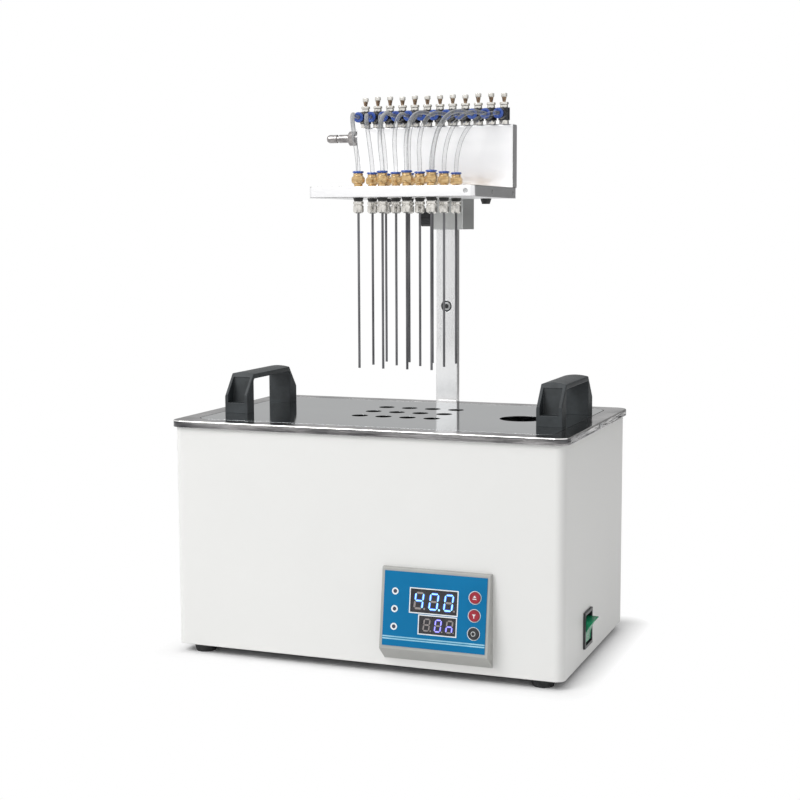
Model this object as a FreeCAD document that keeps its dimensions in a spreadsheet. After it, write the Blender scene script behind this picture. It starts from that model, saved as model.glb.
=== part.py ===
import FreeCAD, Part
import math
import os

import Sketcher
from FreeCAD import Placement, Rotation, Vector

# Nitrogen sample evaporator: a heated water bath with a lift-off lid, and a gas head with
# twelve needles that slides on a post behind the bath.
# Origin: bench level under the middle of the whole. +X right, +Y to the rear, +Z up. Millimetres.
# Sizes across the depth are given from the middle of the casing, which stands a little in front
# of the origin, by casing_set_forward.

os.makedirs("parts", exist_ok=True)
doc = FreeCAD.newDocument("evaporator")
sheet = doc.addObject("Spreadsheet::Sheet", "Sizes")
nodes = []


class Size:
    """A length that carries its number and the sheet formula that gives it."""

    def __init__(self, text, value):
        self.text = text
        self.value = float(value)

    def join(self, sign, other, value):
        return Size("(%s %s %s)" % (self.text, sign, as_size(other).text), value)

    def __add__(self, other):
        return self.join("+", other, self.value + float(other))

    def __sub__(self, other):
        return self.join("-", other, self.value - float(other))

    def __mul__(self, other):
        return self.join("*", other, self.value * float(other))

    def __truediv__(self, other):
        return self.join("/", other, self.value / float(other))

    def __radd__(self, other):
        return as_size(other) + self

    def __rsub__(self, other):
        return as_size(other) - self

    def __rmul__(self, other):
        return as_size(other) * self

    def __neg__(self):
        return as_size(0) - self

    def __float__(self):
        return self.value


def as_size(value):
    if isinstance(value, Size):
        return value
    return Size("(%r)" % float(value), value)


def cell(alias, value):
    """Writes one driving dimension into the next row of the sheet."""
    cell.row += 1
    sheet.set("A%d" % cell.row, alias.replace("_", " "))
    sheet.set("B%d" % cell.row, str(value))
    sheet.setAlias("B%d" % cell.row, alias)
    return Size("Sizes." + alias, value)


cell.row = 0

# Casing, feet and rim
case_width = cell("case_width", 362)
case_depth = cell("case_depth", 220)
case_height = cell("case_height", 204)
case_wall = cell("case_wall", 1.2)
case_corner = cell("case_corner", 8)
casing_set_forward = cell("casing_set_forward", 10)
base_thickness = cell("base_thickness", 1.5)
foot_height = cell("foot_height", 8)
foot_top_radius = cell("foot_top_radius", 11)
foot_bottom_radius = cell("foot_bottom_radius", 9)
foot_inset_side = cell("foot_inset_side", 21)
foot_inset_end = cell("foot_inset_end", 15)
rim_overhang = cell("rim_overhang", 3)
rim_sheet = cell("rim_sheet", 1.2)
rim_skirt = cell("rim_skirt", 6)
rim_flange = cell("rim_flange", 17)
rim_ledge = cell("rim_ledge", 8)
rim_fillet = cell("rim_fillet", 1.1)
rim_screw_radius = cell("rim_screw_radius", 2.2)
rim_screw_head = cell("rim_screw_head", 1)

# Lid with its sample holes and handles
lid_thickness = cell("lid_thickness", 2)
lid_gap = cell("lid_gap", 0.8)
lid_corner = cell("lid_corner", 12)
grid_pitch_side = cell("grid_pitch_side", 23.3)
grid_pitch_deep = cell("grid_pitch_deep", 34)
grid_centre_deep = cell("grid_centre_deep", 9)
sample_hole_radius = cell("sample_hole_radius", 7.5)
fill_hole_radius = cell("fill_hole_radius", 20)
fill_hole_side = cell("fill_hole_side", 112)
handle_inset = cell("handle_inset", 31)
handle_width = cell("handle_width", 23)
handle_length = cell("handle_length", 108)
handle_centre_deep = cell("handle_centre_deep", 7)
handle_height = cell("handle_height", 37)
handle_shoulder = cell("handle_shoulder", 17)
handle_slant = cell("handle_slant", 16)
handle_leg = cell("handle_leg", 14.5)
handle_bar = cell("handle_bar", 6)
handle_crown = cell("handle_crown", 1.6)
handle_corner = cell("handle_corner", 3)
handle_fillet = cell("handle_fillet", 1.2)
handle_wall = cell("handle_wall", 3)
handle_pocket_floor = cell("handle_pocket_floor", 9.5)
handle_pocket_depth = cell("handle_pocket_depth", 11)
handle_pocket_lean = cell("handle_pocket_lean", 2.1)
handle_pocket_headroom = cell("handle_pocket_headroom", 4.5)
handle_screw_radius = cell("handle_screw_radius", 2.5)
handle_screw_length = cell("handle_screw_length", 8)
screw_head_ratio = cell("screw_head_ratio", 1.8)
screw_head_height = cell("screw_head_height", 3)
fit_gap = cell("fit_gap", 0.05)

# Tank and what stands in it
tank_depth = cell("tank_depth", 150)
tank_wall = cell("tank_wall", 1)
insulation_thickness = cell("insulation_thickness", 12)
insulation_height = cell("insulation_height", 118)
heater_radius = cell("heater_radius", 4)
heater_bend = cell("heater_bend", 30)
heater_reach = cell("heater_reach", 250)
heater_height = cell("heater_height", 11)
heater_nut = cell("heater_nut", 6)
probe_radius = cell("probe_radius", 3)
probe_reach = cell("probe_reach", 90)
probe_offset = cell("probe_offset", 52)
shelf_height = cell("shelf_height", 38)
shelf_sheet = cell("shelf_sheet", 1.5)
shelf_gap = cell("shelf_gap", 10)
shelf_leg = cell("shelf_leg", 12)
shelf_hole_radius = cell("shelf_hole_radius", 6)
shelf_hole_pitch = cell("shelf_hole_pitch", 26)

# Control box on the front
panel_width = cell("panel_width", 98)
panel_height = cell("panel_height", 81)
panel_side = cell("panel_side", 70.7)
panel_bottom = cell("panel_bottom", 6.5)
panel_top_proud = cell("panel_top_proud", 4)
panel_low_proud = cell("panel_low_proud", 13.5)
panel_bevel = cell("panel_bevel", 12)
panel_wall = cell("panel_wall", 2)
panel_margin = cell("panel_margin", 2.9)
overlay_sheet = cell("overlay_sheet", 0.5)
display_depth = cell("display_depth", 8)
upper_display_width = cell("upper_display_width", 42)
upper_display_height = cell("upper_display_height", 20)
upper_display_left = cell("upper_display_left", 24.3)
upper_display_top = cell("upper_display_top", 13.6)
lower_display_width = cell("lower_display_width", 33)
lower_display_height = cell("lower_display_height", 15.2)
lower_display_left = cell("lower_display_left", 32.9)
lower_display_top = cell("lower_display_top", 36)
led_radius = cell("led_radius", 1.6)
led_left = cell("led_left", 10.2)
key_left = cell("key_left", 81.8)
key_radius = cell("key_radius", 4.8)
key_gap = cell("key_gap", 0.3)
key_proud = cell("key_proud", 1.2)
key_flange = cell("key_flange", 1.1)
key_row_top = cell("key_row_top", 17.1)
key_row_pitch = cell("key_row_pitch", 15.1)
board_sheet = cell("board_sheet", 1.6)
board_margin = cell("board_margin", 5)
boss_radius = cell("boss_radius", 2.4)

# Rocker switch on the right side, mains gland on the rear, power board inside
switch_width = cell("switch_width", 27)
switch_height = cell("switch_height", 32)
switch_deep = cell("switch_deep", -30)
switch_centre_height = cell("switch_centre_height", 27)
switch_flange = cell("switch_flange", 2)
switch_border = cell("switch_border", 3)
switch_body_depth = cell("switch_body_depth", 15)
switch_body_wall = cell("switch_body_wall", 1.6)
rocker_gap = cell("rocker_gap", 0.4)
rocker_face = cell("rocker_face", 6.2)
rocker_dip = cell("rocker_dip", 2.6)
rocker_swing_gap = cell("rocker_swing_gap", 2.2)
rocker_tilt = cell("rocker_tilt", 20)
rocker_pin_radius = cell("rocker_pin_radius", 1.2)
rocker_pin_length = cell("rocker_pin_length", 1)
gland_inset = cell("gland_inset", 41)
gland_height = cell("gland_height", 32)
gland_bore_radius = cell("gland_bore_radius", 3.5)
gland_barrel_radius = cell("gland_barrel_radius", 8)
gland_flange_radius = cell("gland_flange_radius", 11)
gland_flange = cell("gland_flange", 3)
gland_length = cell("gland_length", 14)
gland_tail = cell("gland_tail", 6)
gland_nut = cell("gland_nut", 5)
power_board_width = cell("power_board_width", 90)
power_board_depth = cell("power_board_depth", 60)
power_board_lift = cell("power_board_lift", 6)
relay_height = cell("relay_height", 16)

# Post behind the bath
post_width = cell("post_width", 22)
post_thickness = cell("post_thickness", 8)
post_standoff = cell("post_standoff", 6)
post_foot = cell("post_foot", 42)
post_top = cell("post_top", 472)
bracket_width = cell("bracket_width", 40)
bracket_height = cell("bracket_height", 130)
post_screw_radius = cell("post_screw_radius", 2.5)
cap_screw_height = cell("cap_screw_height", 306.7)
cap_screw_radius = cell("cap_screw_radius", 5)
cap_screw_sink = cell("cap_screw_sink", 5)

# Gas head
head_width = cell("head_width", 158)
head_depth = cell("head_depth", 127.5)
head_front = cell("head_front", -36.5)
head_bottom = cell("head_bottom", 411)
head_plate = cell("head_plate", 10)
head_corner = cell("head_corner", 4)
manifold_thickness = cell("manifold_thickness", 12)
manifold_height = cell("manifold_height", 59)
manifold_bore = cell("manifold_bore", 3)
manifold_screw_side = cell("manifold_screw_side", 50.5)
manifold_screw_radius = cell("manifold_screw_radius", 5.3)
manifold_screw_head = cell("manifold_screw_head", 5)
manifold_screw_shank = cell("manifold_screw_shank", 3)
plug_radius = cell("plug_radius", 1.6)
plug_length = cell("plug_length", 6)
plug_inset = cell("plug_inset", 8.5)
slider_left = cell("slider_left", 13.5)
slider_right = cell("slider_right", 19.5)
slider_front_wall = cell("slider_front_wall", 8)
slider_depth = cell("slider_depth", 36)
slider_drop = cell("slider_drop", 29)
slider_height = cell("slider_height", 84)
slider_gap = cell("slider_gap", 0.2)
slider_pad_lift = cell("slider_pad_lift", 6)
clamp_height = cell("clamp_height", 12)
clamp_radius = cell("clamp_radius", 9)
clamp_length = cell("clamp_length", 11.5)
clamp_stem_radius = cell("clamp_stem_radius", 3)
clamp_stem_gap = cell("clamp_stem_gap", 2)
clamp_groove = cell("clamp_groove", 1.2)

# Valves, tail, fittings and needles
valve_pitch = cell("valve_pitch", 12.75)
valve_shift = cell("valve_shift", -1.9)
valve_nut = cell("valve_nut", 4)
valve_nut_radius = cell("valve_nut_radius", 4.6)
valve_body_radius = cell("valve_body_radius", 5.4)
valve_body_height = cell("valve_body_height", 11.5)
valve_barrel_radius = cell("valve_barrel_radius", 4.9)
valve_barrel_reach = cell("valve_barrel_reach", 15)
valve_barrel_lift = cell("valve_barrel_lift", 0.5)
valve_collar = cell("valve_collar", 2.6)
valve_collar_radius = cell("valve_collar_radius", 3.7)
valve_lock_nut = cell("valve_lock_nut", 2.6)
valve_lock_radius = cell("valve_lock_radius", 4.2)
valve_stem = cell("valve_stem", 4.4)
valve_stem_radius = cell("valve_stem_radius", 1.3)
valve_stem_flare = cell("valve_stem_flare", 2.3)
knob_radius = cell("knob_radius", 2.9)
knob_height = cell("knob_height", 3.8)
knob_lift = cell("knob_lift", 0.8)
collet_neck_radius = cell("collet_neck_radius", 3.6)
collet_neck = cell("collet_neck", 2.4)
collet_disc_radius = cell("collet_disc_radius", 5)
collet_disc = cell("collet_disc", 2.4)
tail_height = cell("tail_height", 49.5)
tail_shoulder = cell("tail_shoulder", 3)
tail_hex = cell("tail_hex", 7)
tail_hex_radius = cell("tail_hex_radius", 6.9)
tail_radius = cell("tail_radius", 4)
tail_barrel = cell("tail_barrel", 10.5)
tail_groove = cell("tail_groove", 2.5)
tail_groove_radius = cell("tail_groove_radius", 3)
tail_end = cell("tail_end", 8)
tail_taper = cell("tail_taper", 2)
tail_bore_radius = cell("tail_bore_radius", 2.2)
fitting_hex = cell("fitting_hex", 8.5)
fitting_hex_radius = cell("fitting_hex_radius", 6.3)
fitting_neck = cell("fitting_neck", 3)
fitting_neck_radius = cell("fitting_neck_radius", 4.9)
fitting_shank = cell("fitting_shank", 8)
fitting_shank_radius = cell("fitting_shank_radius", 2.6)
fitting_collar = cell("fitting_collar", 2.4)
fitting_collar_radius = cell("fitting_collar_radius", 5.2)
seal_height = cell("seal_height", 3)
seal_top_radius = cell("seal_top_radius", 4.8)
seal_low_radius = cell("seal_low_radius", 3.9)
needle_nut = cell("needle_nut", 11)
needle_nut_radius = cell("needle_nut_radius", 4.8)
needle_radius = cell("needle_radius", 1.1)
needle_tip_height = cell("needle_tip_height", 257)
tube_radius = cell("tube_radius", 2)

COLUMNS = 4
ROWS = 3
VALVES = COLUMNS * ROWS


# Helpers that make bound primitives

def bind(thing, prop, value):
    if isinstance(value, Size):
        thing.setExpression(prop, value.text)
    else:
        setattr(thing, prop, value)


def put(thing, x, y, z, turn=None):
    thing.Placement = Placement(Vector(float(x), float(y), float(z)), turn or Rotation())
    for letter, value in (("x", x), ("y", y), ("z", z)):
        if isinstance(value, Size):
            thing.setExpression(".Placement.Base." + letter, value.text)
    return thing


TURNS = {
    "x": Rotation(Vector(0, 1, 0), 90),
    "y": Rotation(Vector(1, 0, 0), -90),
    "-y": Rotation(Vector(1, 0, 0), 90),
    "-x": Rotation(Vector(0, 1, 0), -90),
    "z": Rotation(),
}


def box(name, x, y, z, length, width, height):
    thing = doc.addObject("Part::Box", name)
    bind(thing, "Length", length)
    bind(thing, "Width", width)
    bind(thing, "Height", height)
    return put(thing, x, y, z)


def rod(name, axis, x, y, z, radius, length):
    thing = doc.addObject("Part::Cylinder", name)
    bind(thing, "Radius", radius)
    bind(thing, "Height", length)
    return put(thing, x, y, z, TURNS[axis])


def cone(name, axis, x, y, z, radius, end_radius, length):
    thing = doc.addObject("Part::Cone", name)
    bind(thing, "Radius1", radius)
    bind(thing, "Radius2", end_radius)
    bind(thing, "Height", length)
    return put(thing, x, y, z, TURNS[axis])


def hexagon(name, axis, x, y, z, radius, length):
    thing = doc.addObject("Part::Prism", name)
    thing.Polygon = 6
    bind(thing, "Circumradius", radius)
    bind(thing, "Height", length)
    return put(thing, x, y, z, TURNS[axis])


def fuse(name, pieces):
    thing = doc.addObject("Part::MultiFuse", name)
    thing.Shapes = pieces
    thing.Refine = True
    return thing


def group(name, pieces):
    thing = doc.addObject("Part::Compound", name)
    thing.Links = pieces
    return thing


def cut(name, base, tools):
    thing = doc.addObject("Part::Cut", name)
    thing.Base = base
    thing.Tool = tools[0] if len(tools) == 1 else group(name + "_tools", tools)
    return thing


def rounded(name, base, radius, chosen):
    """Rounds the edges of a solid that the chooser picks."""
    doc.recompute()
    thing = doc.addObject("Part::Fillet", name)
    thing.Base = base
    picked = [i + 1 for i, edge in enumerate(base.Shape.Edges) if chosen(edge)]
    thing.Edges = [(i, float(radius), float(radius)) for i in picked]
    return thing


def upright(edge):
    direction = edge.tangentAt(edge.FirstParameter)
    return abs(direction.z) > 0.999


def finished(node, thing):
    """Names a sub-part after its node, sets it forward of the origin and notes it for export."""
    thing.Label = node
    bound = dict(thing.ExpressionEngine).get(".Placement.Base.y")
    start = bound or "%r" % thing.Placement.Base.y
    thing.setExpression(".Placement.Base.y", "%s - %s" % (start, casing_set_forward.text))
    nodes.append(thing)
    return thing


def rounded_block(name, x, y, z, length, width, height, radius):
    block = box(name + "_block", x, y, z, length, width, height)
    return rounded(name, block, radius, upright)


def body_plane(body, role):
    return [f for f in body.Origin.OriginFeatures if f.Role == role][0]


def outline(body, name, role, points):
    """A closed sketch of straight lines whose corners are all bound to the sheet."""
    sketch = body.newObject("Sketcher::SketchObject", name)
    sketch.AttachmentSupport = [(body_plane(body, role), "")]
    sketch.MapMode = "FlatFace"
    count = len(points)
    corners = [Vector(float(a), float(b), 0) for a, b in points]
    for i in range(count):
        sketch.addGeometry(Part.LineSegment(corners[i], corners[(i + 1) % count]), False)
    for i in range(count):
        sketch.addConstraint(Sketcher.Constraint("Coincident", i, 2, (i + 1) % count, 1))
    for i, (a, b) in enumerate(points):
        for kind, value in (("DistanceX", a), ("DistanceY", b)):
            index = sketch.addConstraint(Sketcher.Constraint(kind, i, 1, float(value)))
            if isinstance(value, Size):
                sketch.setExpression("Constraints[%d]" % index, value.text)
    return sketch


def padded(name, role, points, length):
    """A body made by padding one outline from an origin plane."""
    body = doc.addObject("PartDesign::Body", name)
    sketch = outline(body, name + "_outline", role, points)
    pad = body.newObject("PartDesign::Pad", name + "_pad")
    pad.Profile = sketch
    bind(pad, "Length", length)
    sketch.Visibility = False
    doc.recompute()
    return body


def grid_places():
    """Sample positions, front row first, left to right in each row."""
    for row in range(ROWS):
        for column in range(COLUMNS):
            x = grid_pitch_side * (column - (COLUMNS - 1) / 2)
            y = grid_centre_deep + grid_pitch_deep * (row - (ROWS - 1) / 2)
            yield row * COLUMNS + column + 1, x, y


# Levels and places that several pieces share
half_width = case_width / 2
half_depth = case_depth / 2
gland_side = gland_inset - half_width
case_top = foot_height + case_height
rim_top = case_top + rim_sheet
lid_bottom = rim_top - lid_thickness
ledge_bottom = lid_bottom - rim_sheet
recess_half_width = half_width + rim_overhang - rim_flange
recess_half_depth = half_depth + rim_overhang - rim_flange
mouth_half_width = recess_half_width - rim_ledge
mouth_half_depth = recess_half_depth - rim_ledge
tank_bottom = ledge_bottom - tank_depth
tank_floor = tank_bottom + tank_wall
base_top = foot_height + base_thickness
head_top = head_bottom + head_plate
head_rear = head_front + head_depth
manifold_front = head_rear - manifold_thickness
manifold_top = head_top + manifold_height
valve_deep = head_rear - manifold_thickness / 2
post_front = half_depth + post_standoff
post_deep = post_front + post_thickness / 2


def casing_shell():
    outer = rounded_block("casing_outer", -half_width, -half_depth, foot_height,
                          case_width, case_depth, case_height, case_corner)
    inner = rounded_block("casing_inner", -half_width + case_wall, -half_depth + case_wall,
                          foot_height - 1, case_width - 2 * case_wall, case_depth - 2 * case_wall,
                          case_height + 2, case_corner - case_wall)
    board_opening = box("casing_board_opening", panel_side - board_half_width(),
                        -half_depth - 1, foot_height + panel_bottom + panel_bevel,
                        2 * board_half_width(), case_wall + 2,
                        panel_height - panel_bevel - 3 * panel_wall)
    switch_opening = box("casing_switch_opening", half_width - case_wall - 1,
                         switch_deep - switch_cut_half_width(), switch_low(),
                         case_wall + 2, 2 * switch_cut_half_width(), switch_high() - switch_low())
    gland_opening = rod("casing_gland_opening", "y", gland_side, half_depth - case_wall - 1,
                        foot_height + gland_height, gland_barrel_radius + fit_gap, case_wall + 2)
    tools = [inner, board_opening, switch_opening, gland_opening]
    for name, side, x in (("left", "-x", -half_width + case_wall + 1),
                          ("right", "x", half_width - case_wall - 1)):
        tools.append(rod("casing_rim_screw_" + name, side, x, 0, rim_screw_level(),
                         rim_screw_shank(), case_wall + 2))
    tools_body = fuse("casing_cuts", tools)
    finished("casing_shell", cut("casing_shell", outer, [tools_body]))


def board_half_width():
    return panel_width / 2 - panel_margin - board_margin


def switch_cut_half_width():
    return rocker_half_width() + rocker_gap + switch_body_wall


def switch_cut_half_height():
    return rocker_half_height() + rocker_gap + switch_body_wall


def switch_low():
    return foot_height + switch_centre_height - switch_cut_half_height()


def switch_high():
    return foot_height + switch_centre_height + switch_cut_half_height()


def rim_screw_level():
    return rim_top - rim_skirt / 2 - rim_sheet / 2


def rim_screw_shank():
    return rim_screw_radius / 2


def base_plate():
    plate = rounded_block("base_sheet", -half_width + case_wall, -half_depth + case_wall,
                          foot_height, case_width - 2 * case_wall, case_depth - 2 * case_wall,
                          base_thickness, case_corner - case_wall)
    holes = [rod("base_hole_%d" % n, "z", x, y, foot_height - 1,
                 foot_bottom_radius / 4 + fit_gap, base_thickness + 2)
             for n, x, y in foot_places()]
    finished("base_plate", cut("base_plate", plate, holes))


def foot_places():
    n = 0
    for x in (-half_width + foot_inset_side, half_width - foot_inset_side):
        for y in (-half_depth + foot_inset_end, half_depth - foot_inset_end):
            n += 1
            yield n, x, y


def rubber_feet():
    feet = []
    screws = []
    shank = foot_bottom_radius / 4
    recess = foot_height / 2
    for n, x, y in foot_places():
        stub = cone("foot_block_%d" % n, "z", x, y, 0, foot_bottom_radius, foot_top_radius,
                    foot_height)
        bore = rod("foot_bore_%d" % n, "z", x, y, -1, shank + fit_gap, foot_height + 2)
        sink = rod("foot_sink_%d" % n, "z", x, y, -1, shank * 2 + fit_gap, recess + 1)
        feet.append(cut("foot_%d" % n, stub, [fuse("foot_cut_%d" % n, [bore, sink])]))
        head = rod("foot_screw_head_%d" % n, "z", x, y, recess - 2, shank * 2, 2)
        stem = rod("foot_screw_stem_%d" % n, "z", x, y, recess - 1, shank,
                   base_top + 4 - recess + 1)
        screws.append(fuse("foot_screw_%d" % n, [head, stem]))
    finished("rubber_feet", group("rubber_feet", feet))
    finished("foot_screws", group("foot_screws", screws))


def top_rim():
    """Polished rim: outer skirt, flange, a step down and the ledge that carries the lid."""
    outer = rounded_block("rim_outer", -half_width - rim_overhang, -half_depth - rim_overhang,
                          rim_top - rim_skirt, case_width + 2 * rim_overhang,
                          case_depth + 2 * rim_overhang, rim_skirt, case_corner + rim_overhang)
    eased = rounded("rim_eased", outer, rim_fillet, lambda e: on_level(e, rim_top))
    wall = rim_overhang - rim_sheet
    under = rounded_block("rim_under", -half_width - wall, -half_depth - wall,
                          rim_top - rim_skirt - 1, case_width + 2 * wall, case_depth + 2 * wall,
                          rim_skirt - rim_sheet + 1, case_corner + wall)
    shell = cut("rim_shell", eased, [under])
    step = rounded_block("rim_step", -recess_half_width - rim_sheet,
                         -recess_half_depth - rim_sheet, ledge_bottom,
                         2 * (recess_half_width + rim_sheet), 2 * (recess_half_depth + rim_sheet),
                         rim_top - ledge_bottom - rim_sheet / 2, lid_corner + lid_gap + rim_sheet)
    body = fuse("rim_body", [shell, step])
    recess = rounded_block("rim_recess", -recess_half_width, -recess_half_depth, lid_bottom,
                           2 * recess_half_width, 2 * recess_half_depth, lid_thickness + 1,
                           lid_corner + lid_gap)
    mouth = rounded_block("rim_mouth", -mouth_half_width, -mouth_half_depth, ledge_bottom - 1,
                          2 * mouth_half_width, 2 * mouth_half_depth, rim_sheet + 2, lid_corner)
    tools = [recess, mouth]
    for name, side, x in (("left", "-x", -half_width + 1), ("right", "x", half_width - 1)):
        tools.append(rod("rim_screw_hole_" + name, side, x, 0, rim_screw_level(),
                         rim_screw_shank() + fit_gap, rim_overhang + 2))
    finished("top_rim", cut("top_rim", body, [fuse("rim_cuts", tools)]))


def on_level(edge, level):
    return all(abs(v.Z - float(level)) < 1e-4 for v in edge.Vertexes)


def rim_screws():
    screws = []
    for name, side, sign in (("left", "-x", -1), ("right", "x", 1)):
        face = sign * (half_width + rim_overhang)
        inner = sign * (half_width - case_wall - 1)
        head = rod("rim_head_" + name, side, face, 0, rim_screw_level(), rim_screw_radius,
                   rim_screw_head)
        eased = rounded("rim_head_eased_" + name, head, rim_screw_head / 2,
                        lambda e, f=face, s=sign: s * (e.CenterOfMass.x - float(f)) > 0.5)
        stem = rod("rim_stem_" + name, side, inner, 0, rim_screw_level(),
                   rim_screw_shank() - fit_gap, case_wall + rim_overhang + 1.5)
        screws.append(fuse("rim_screw_" + name, [eased, stem]))
    finished("rim_screws", group("rim_screws", screws))


def inner_tank():
    outer = rounded_block("tank_outer", -mouth_half_width - tank_wall,
                          -mouth_half_depth - tank_wall, tank_bottom,
                          2 * (mouth_half_width + tank_wall), 2 * (mouth_half_depth + tank_wall),
                          tank_depth, lid_corner + tank_wall)
    inner = rounded_block("tank_inner", -mouth_half_width, -mouth_half_depth, tank_floor,
                          2 * mouth_half_width, 2 * mouth_half_depth, tank_depth, lid_corner)
    tools = [inner]
    for name, y, radius in through_tank():
        tools.append(rod("tank_hole_" + name, "x", mouth_half_width - 1, y, heater_level(),
                         radius + fit_gap, tank_wall + 2))
    finished("inner_tank", cut("inner_tank", outer, [fuse("tank_cuts", tools)]))


def through_tank():
    return (("front", -heater_bend, heater_radius), ("rear", heater_bend, heater_radius),
            ("probe", probe_offset, probe_radius))


def heater_level():
    return tank_floor + heater_height


def tank_insulation():
    half_x = mouth_half_width + tank_wall
    half_y = mouth_half_depth + tank_wall
    top = ledge_bottom - 2
    outer = box("insulation_outer", -half_x - insulation_thickness,
                -half_y - insulation_thickness, top - insulation_height,
                2 * (half_x + insulation_thickness), 2 * (half_y + insulation_thickness),
                insulation_height)
    inner = rounded_block("insulation_inner", -half_x, -half_y, top - insulation_height - 1,
                          2 * half_x, 2 * half_y, insulation_height + 2, lid_corner + tank_wall)
    finished("tank_insulation", cut("tank_insulation", outer, [inner]))


def heater_element():
    """A hairpin tube on the tank floor, with a nut on each side of the tank wall."""
    wall_inside = mouth_half_width
    wall_outside = mouth_half_width + tank_wall
    bend_x = wall_inside - heater_reach
    pieces = []
    for name, y in (("front", -heater_bend), ("rear", heater_bend)):
        pieces.append(rod("heater_leg_" + name, "x", bend_x, y, heater_level(), heater_radius,
                          wall_outside + 2 * heater_nut - bend_x))
        pieces.append(hexagon("heater_nut_in_" + name, "x", wall_inside - heater_nut, y,
                              heater_level(), heater_radius * 2, heater_nut))
        pieces.append(hexagon("heater_nut_out_" + name, "x", wall_outside, y, heater_level(),
                              heater_radius * 2, heater_nut))
    bend = doc.addObject("Part::Torus", "heater_bend_ring")
    bind(bend, "Radius1", heater_bend)
    bind(bend, "Radius2", heater_radius)
    bend.Angle3 = 180
    put(bend, bend_x, 0, heater_level(), Rotation(Vector(0, 0, 1), 90))
    pieces.append(bend)
    finished("heater_element", fuse("heater_element", pieces))


def temperature_probe():
    wall_inside = mouth_half_width
    wall_outside = mouth_half_width + tank_wall
    stem = rod("probe_stem", "x", wall_inside - probe_reach, probe_offset, heater_level(),
               probe_radius, probe_reach + tank_wall + 2 * heater_nut)
    nuts = [hexagon("probe_nut_in", "x", wall_inside - heater_nut, probe_offset, heater_level(),
                    probe_radius * 2, heater_nut),
            hexagon("probe_nut_out", "x", wall_outside, probe_offset, heater_level(),
                    probe_radius * 2, heater_nut)]
    finished("temperature_probe", fuse("temperature_probe", [stem] + nuts))


def tank_shelf():
    """Perforated shelf on four legs that the sample tubes stand on."""
    half_x = mouth_half_width - shelf_gap
    half_y = mouth_half_depth - shelf_gap
    level = tank_floor + shelf_height
    sheet_block = rounded_block("shelf_block", -half_x, -half_y, level, 2 * half_x, 2 * half_y,
                                shelf_sheet, lid_corner)
    across = int(2 * (float(half_x) - float(shelf_leg)) / float(shelf_hole_pitch)) // 2
    along = int(2 * (float(half_y) - float(shelf_leg)) / float(shelf_hole_pitch)) // 2
    holes = []
    for i in range(-across, across + 1):
        for j in range(-along, along + 1):
            holes.append(rod("shelf_hole_%d_%d" % (i + across, j + along), "z",
                             shelf_hole_pitch * i, shelf_hole_pitch * j, level - 1,
                             shelf_hole_radius, shelf_sheet + 2))
    plate = cut("shelf_plate", sheet_block, holes)
    legs = []
    for n, (sx, sy) in enumerate(((-1, -1), (-1, 1), (1, -1), (1, 1))):
        x = sx * (half_x - shelf_leg)
        y = sy * (half_y - shelf_leg)
        legs.append(rod("shelf_leg_%d" % n, "z", x, y, tank_floor, shelf_leg / 3,
                        shelf_height + shelf_sheet / 2))
    finished("tank_shelf", fuse("tank_shelf", [plate] + legs))


def lid_half_width():
    return recess_half_width - lid_gap


def lid_half_depth():
    return recess_half_depth - lid_gap


def handle_places():
    """Each handle's node name, its inner side, and its middle across the bath."""
    reach = half_width - handle_inset
    yield "handle_left", -reach
    yield "handle_right", reach


def handle_screw_places():
    offset = handle_length / 2 - handle_leg / 2
    n = 0
    for node, x in handle_places():
        for y in (handle_centre_deep - offset, handle_centre_deep + offset):
            n += 1
            yield n, x, y


def lid_plate():
    plate = rounded_block("lid_sheet", -lid_half_width(), -lid_half_depth(), lid_bottom,
                          2 * lid_half_width(), 2 * lid_half_depth(), lid_thickness, lid_corner)
    holes = [rod("sample_hole_%d" % n, "z", x, y, lid_bottom - 1, sample_hole_radius,
                 lid_thickness + 2) for n, x, y in grid_places()]
    holes.append(rod("fill_hole", "z", fill_hole_side, 0, lid_bottom - 1, fill_hole_radius,
                     lid_thickness + 2))
    for n, x, y in handle_screw_places():
        holes.append(rod("lid_screw_hole_%d" % n, "z", x, y, lid_bottom - 1,
                         handle_screw_radius + fit_gap, lid_thickness + 2))
    finished("lid_plate", cut("lid_plate", plate, holes))


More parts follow.
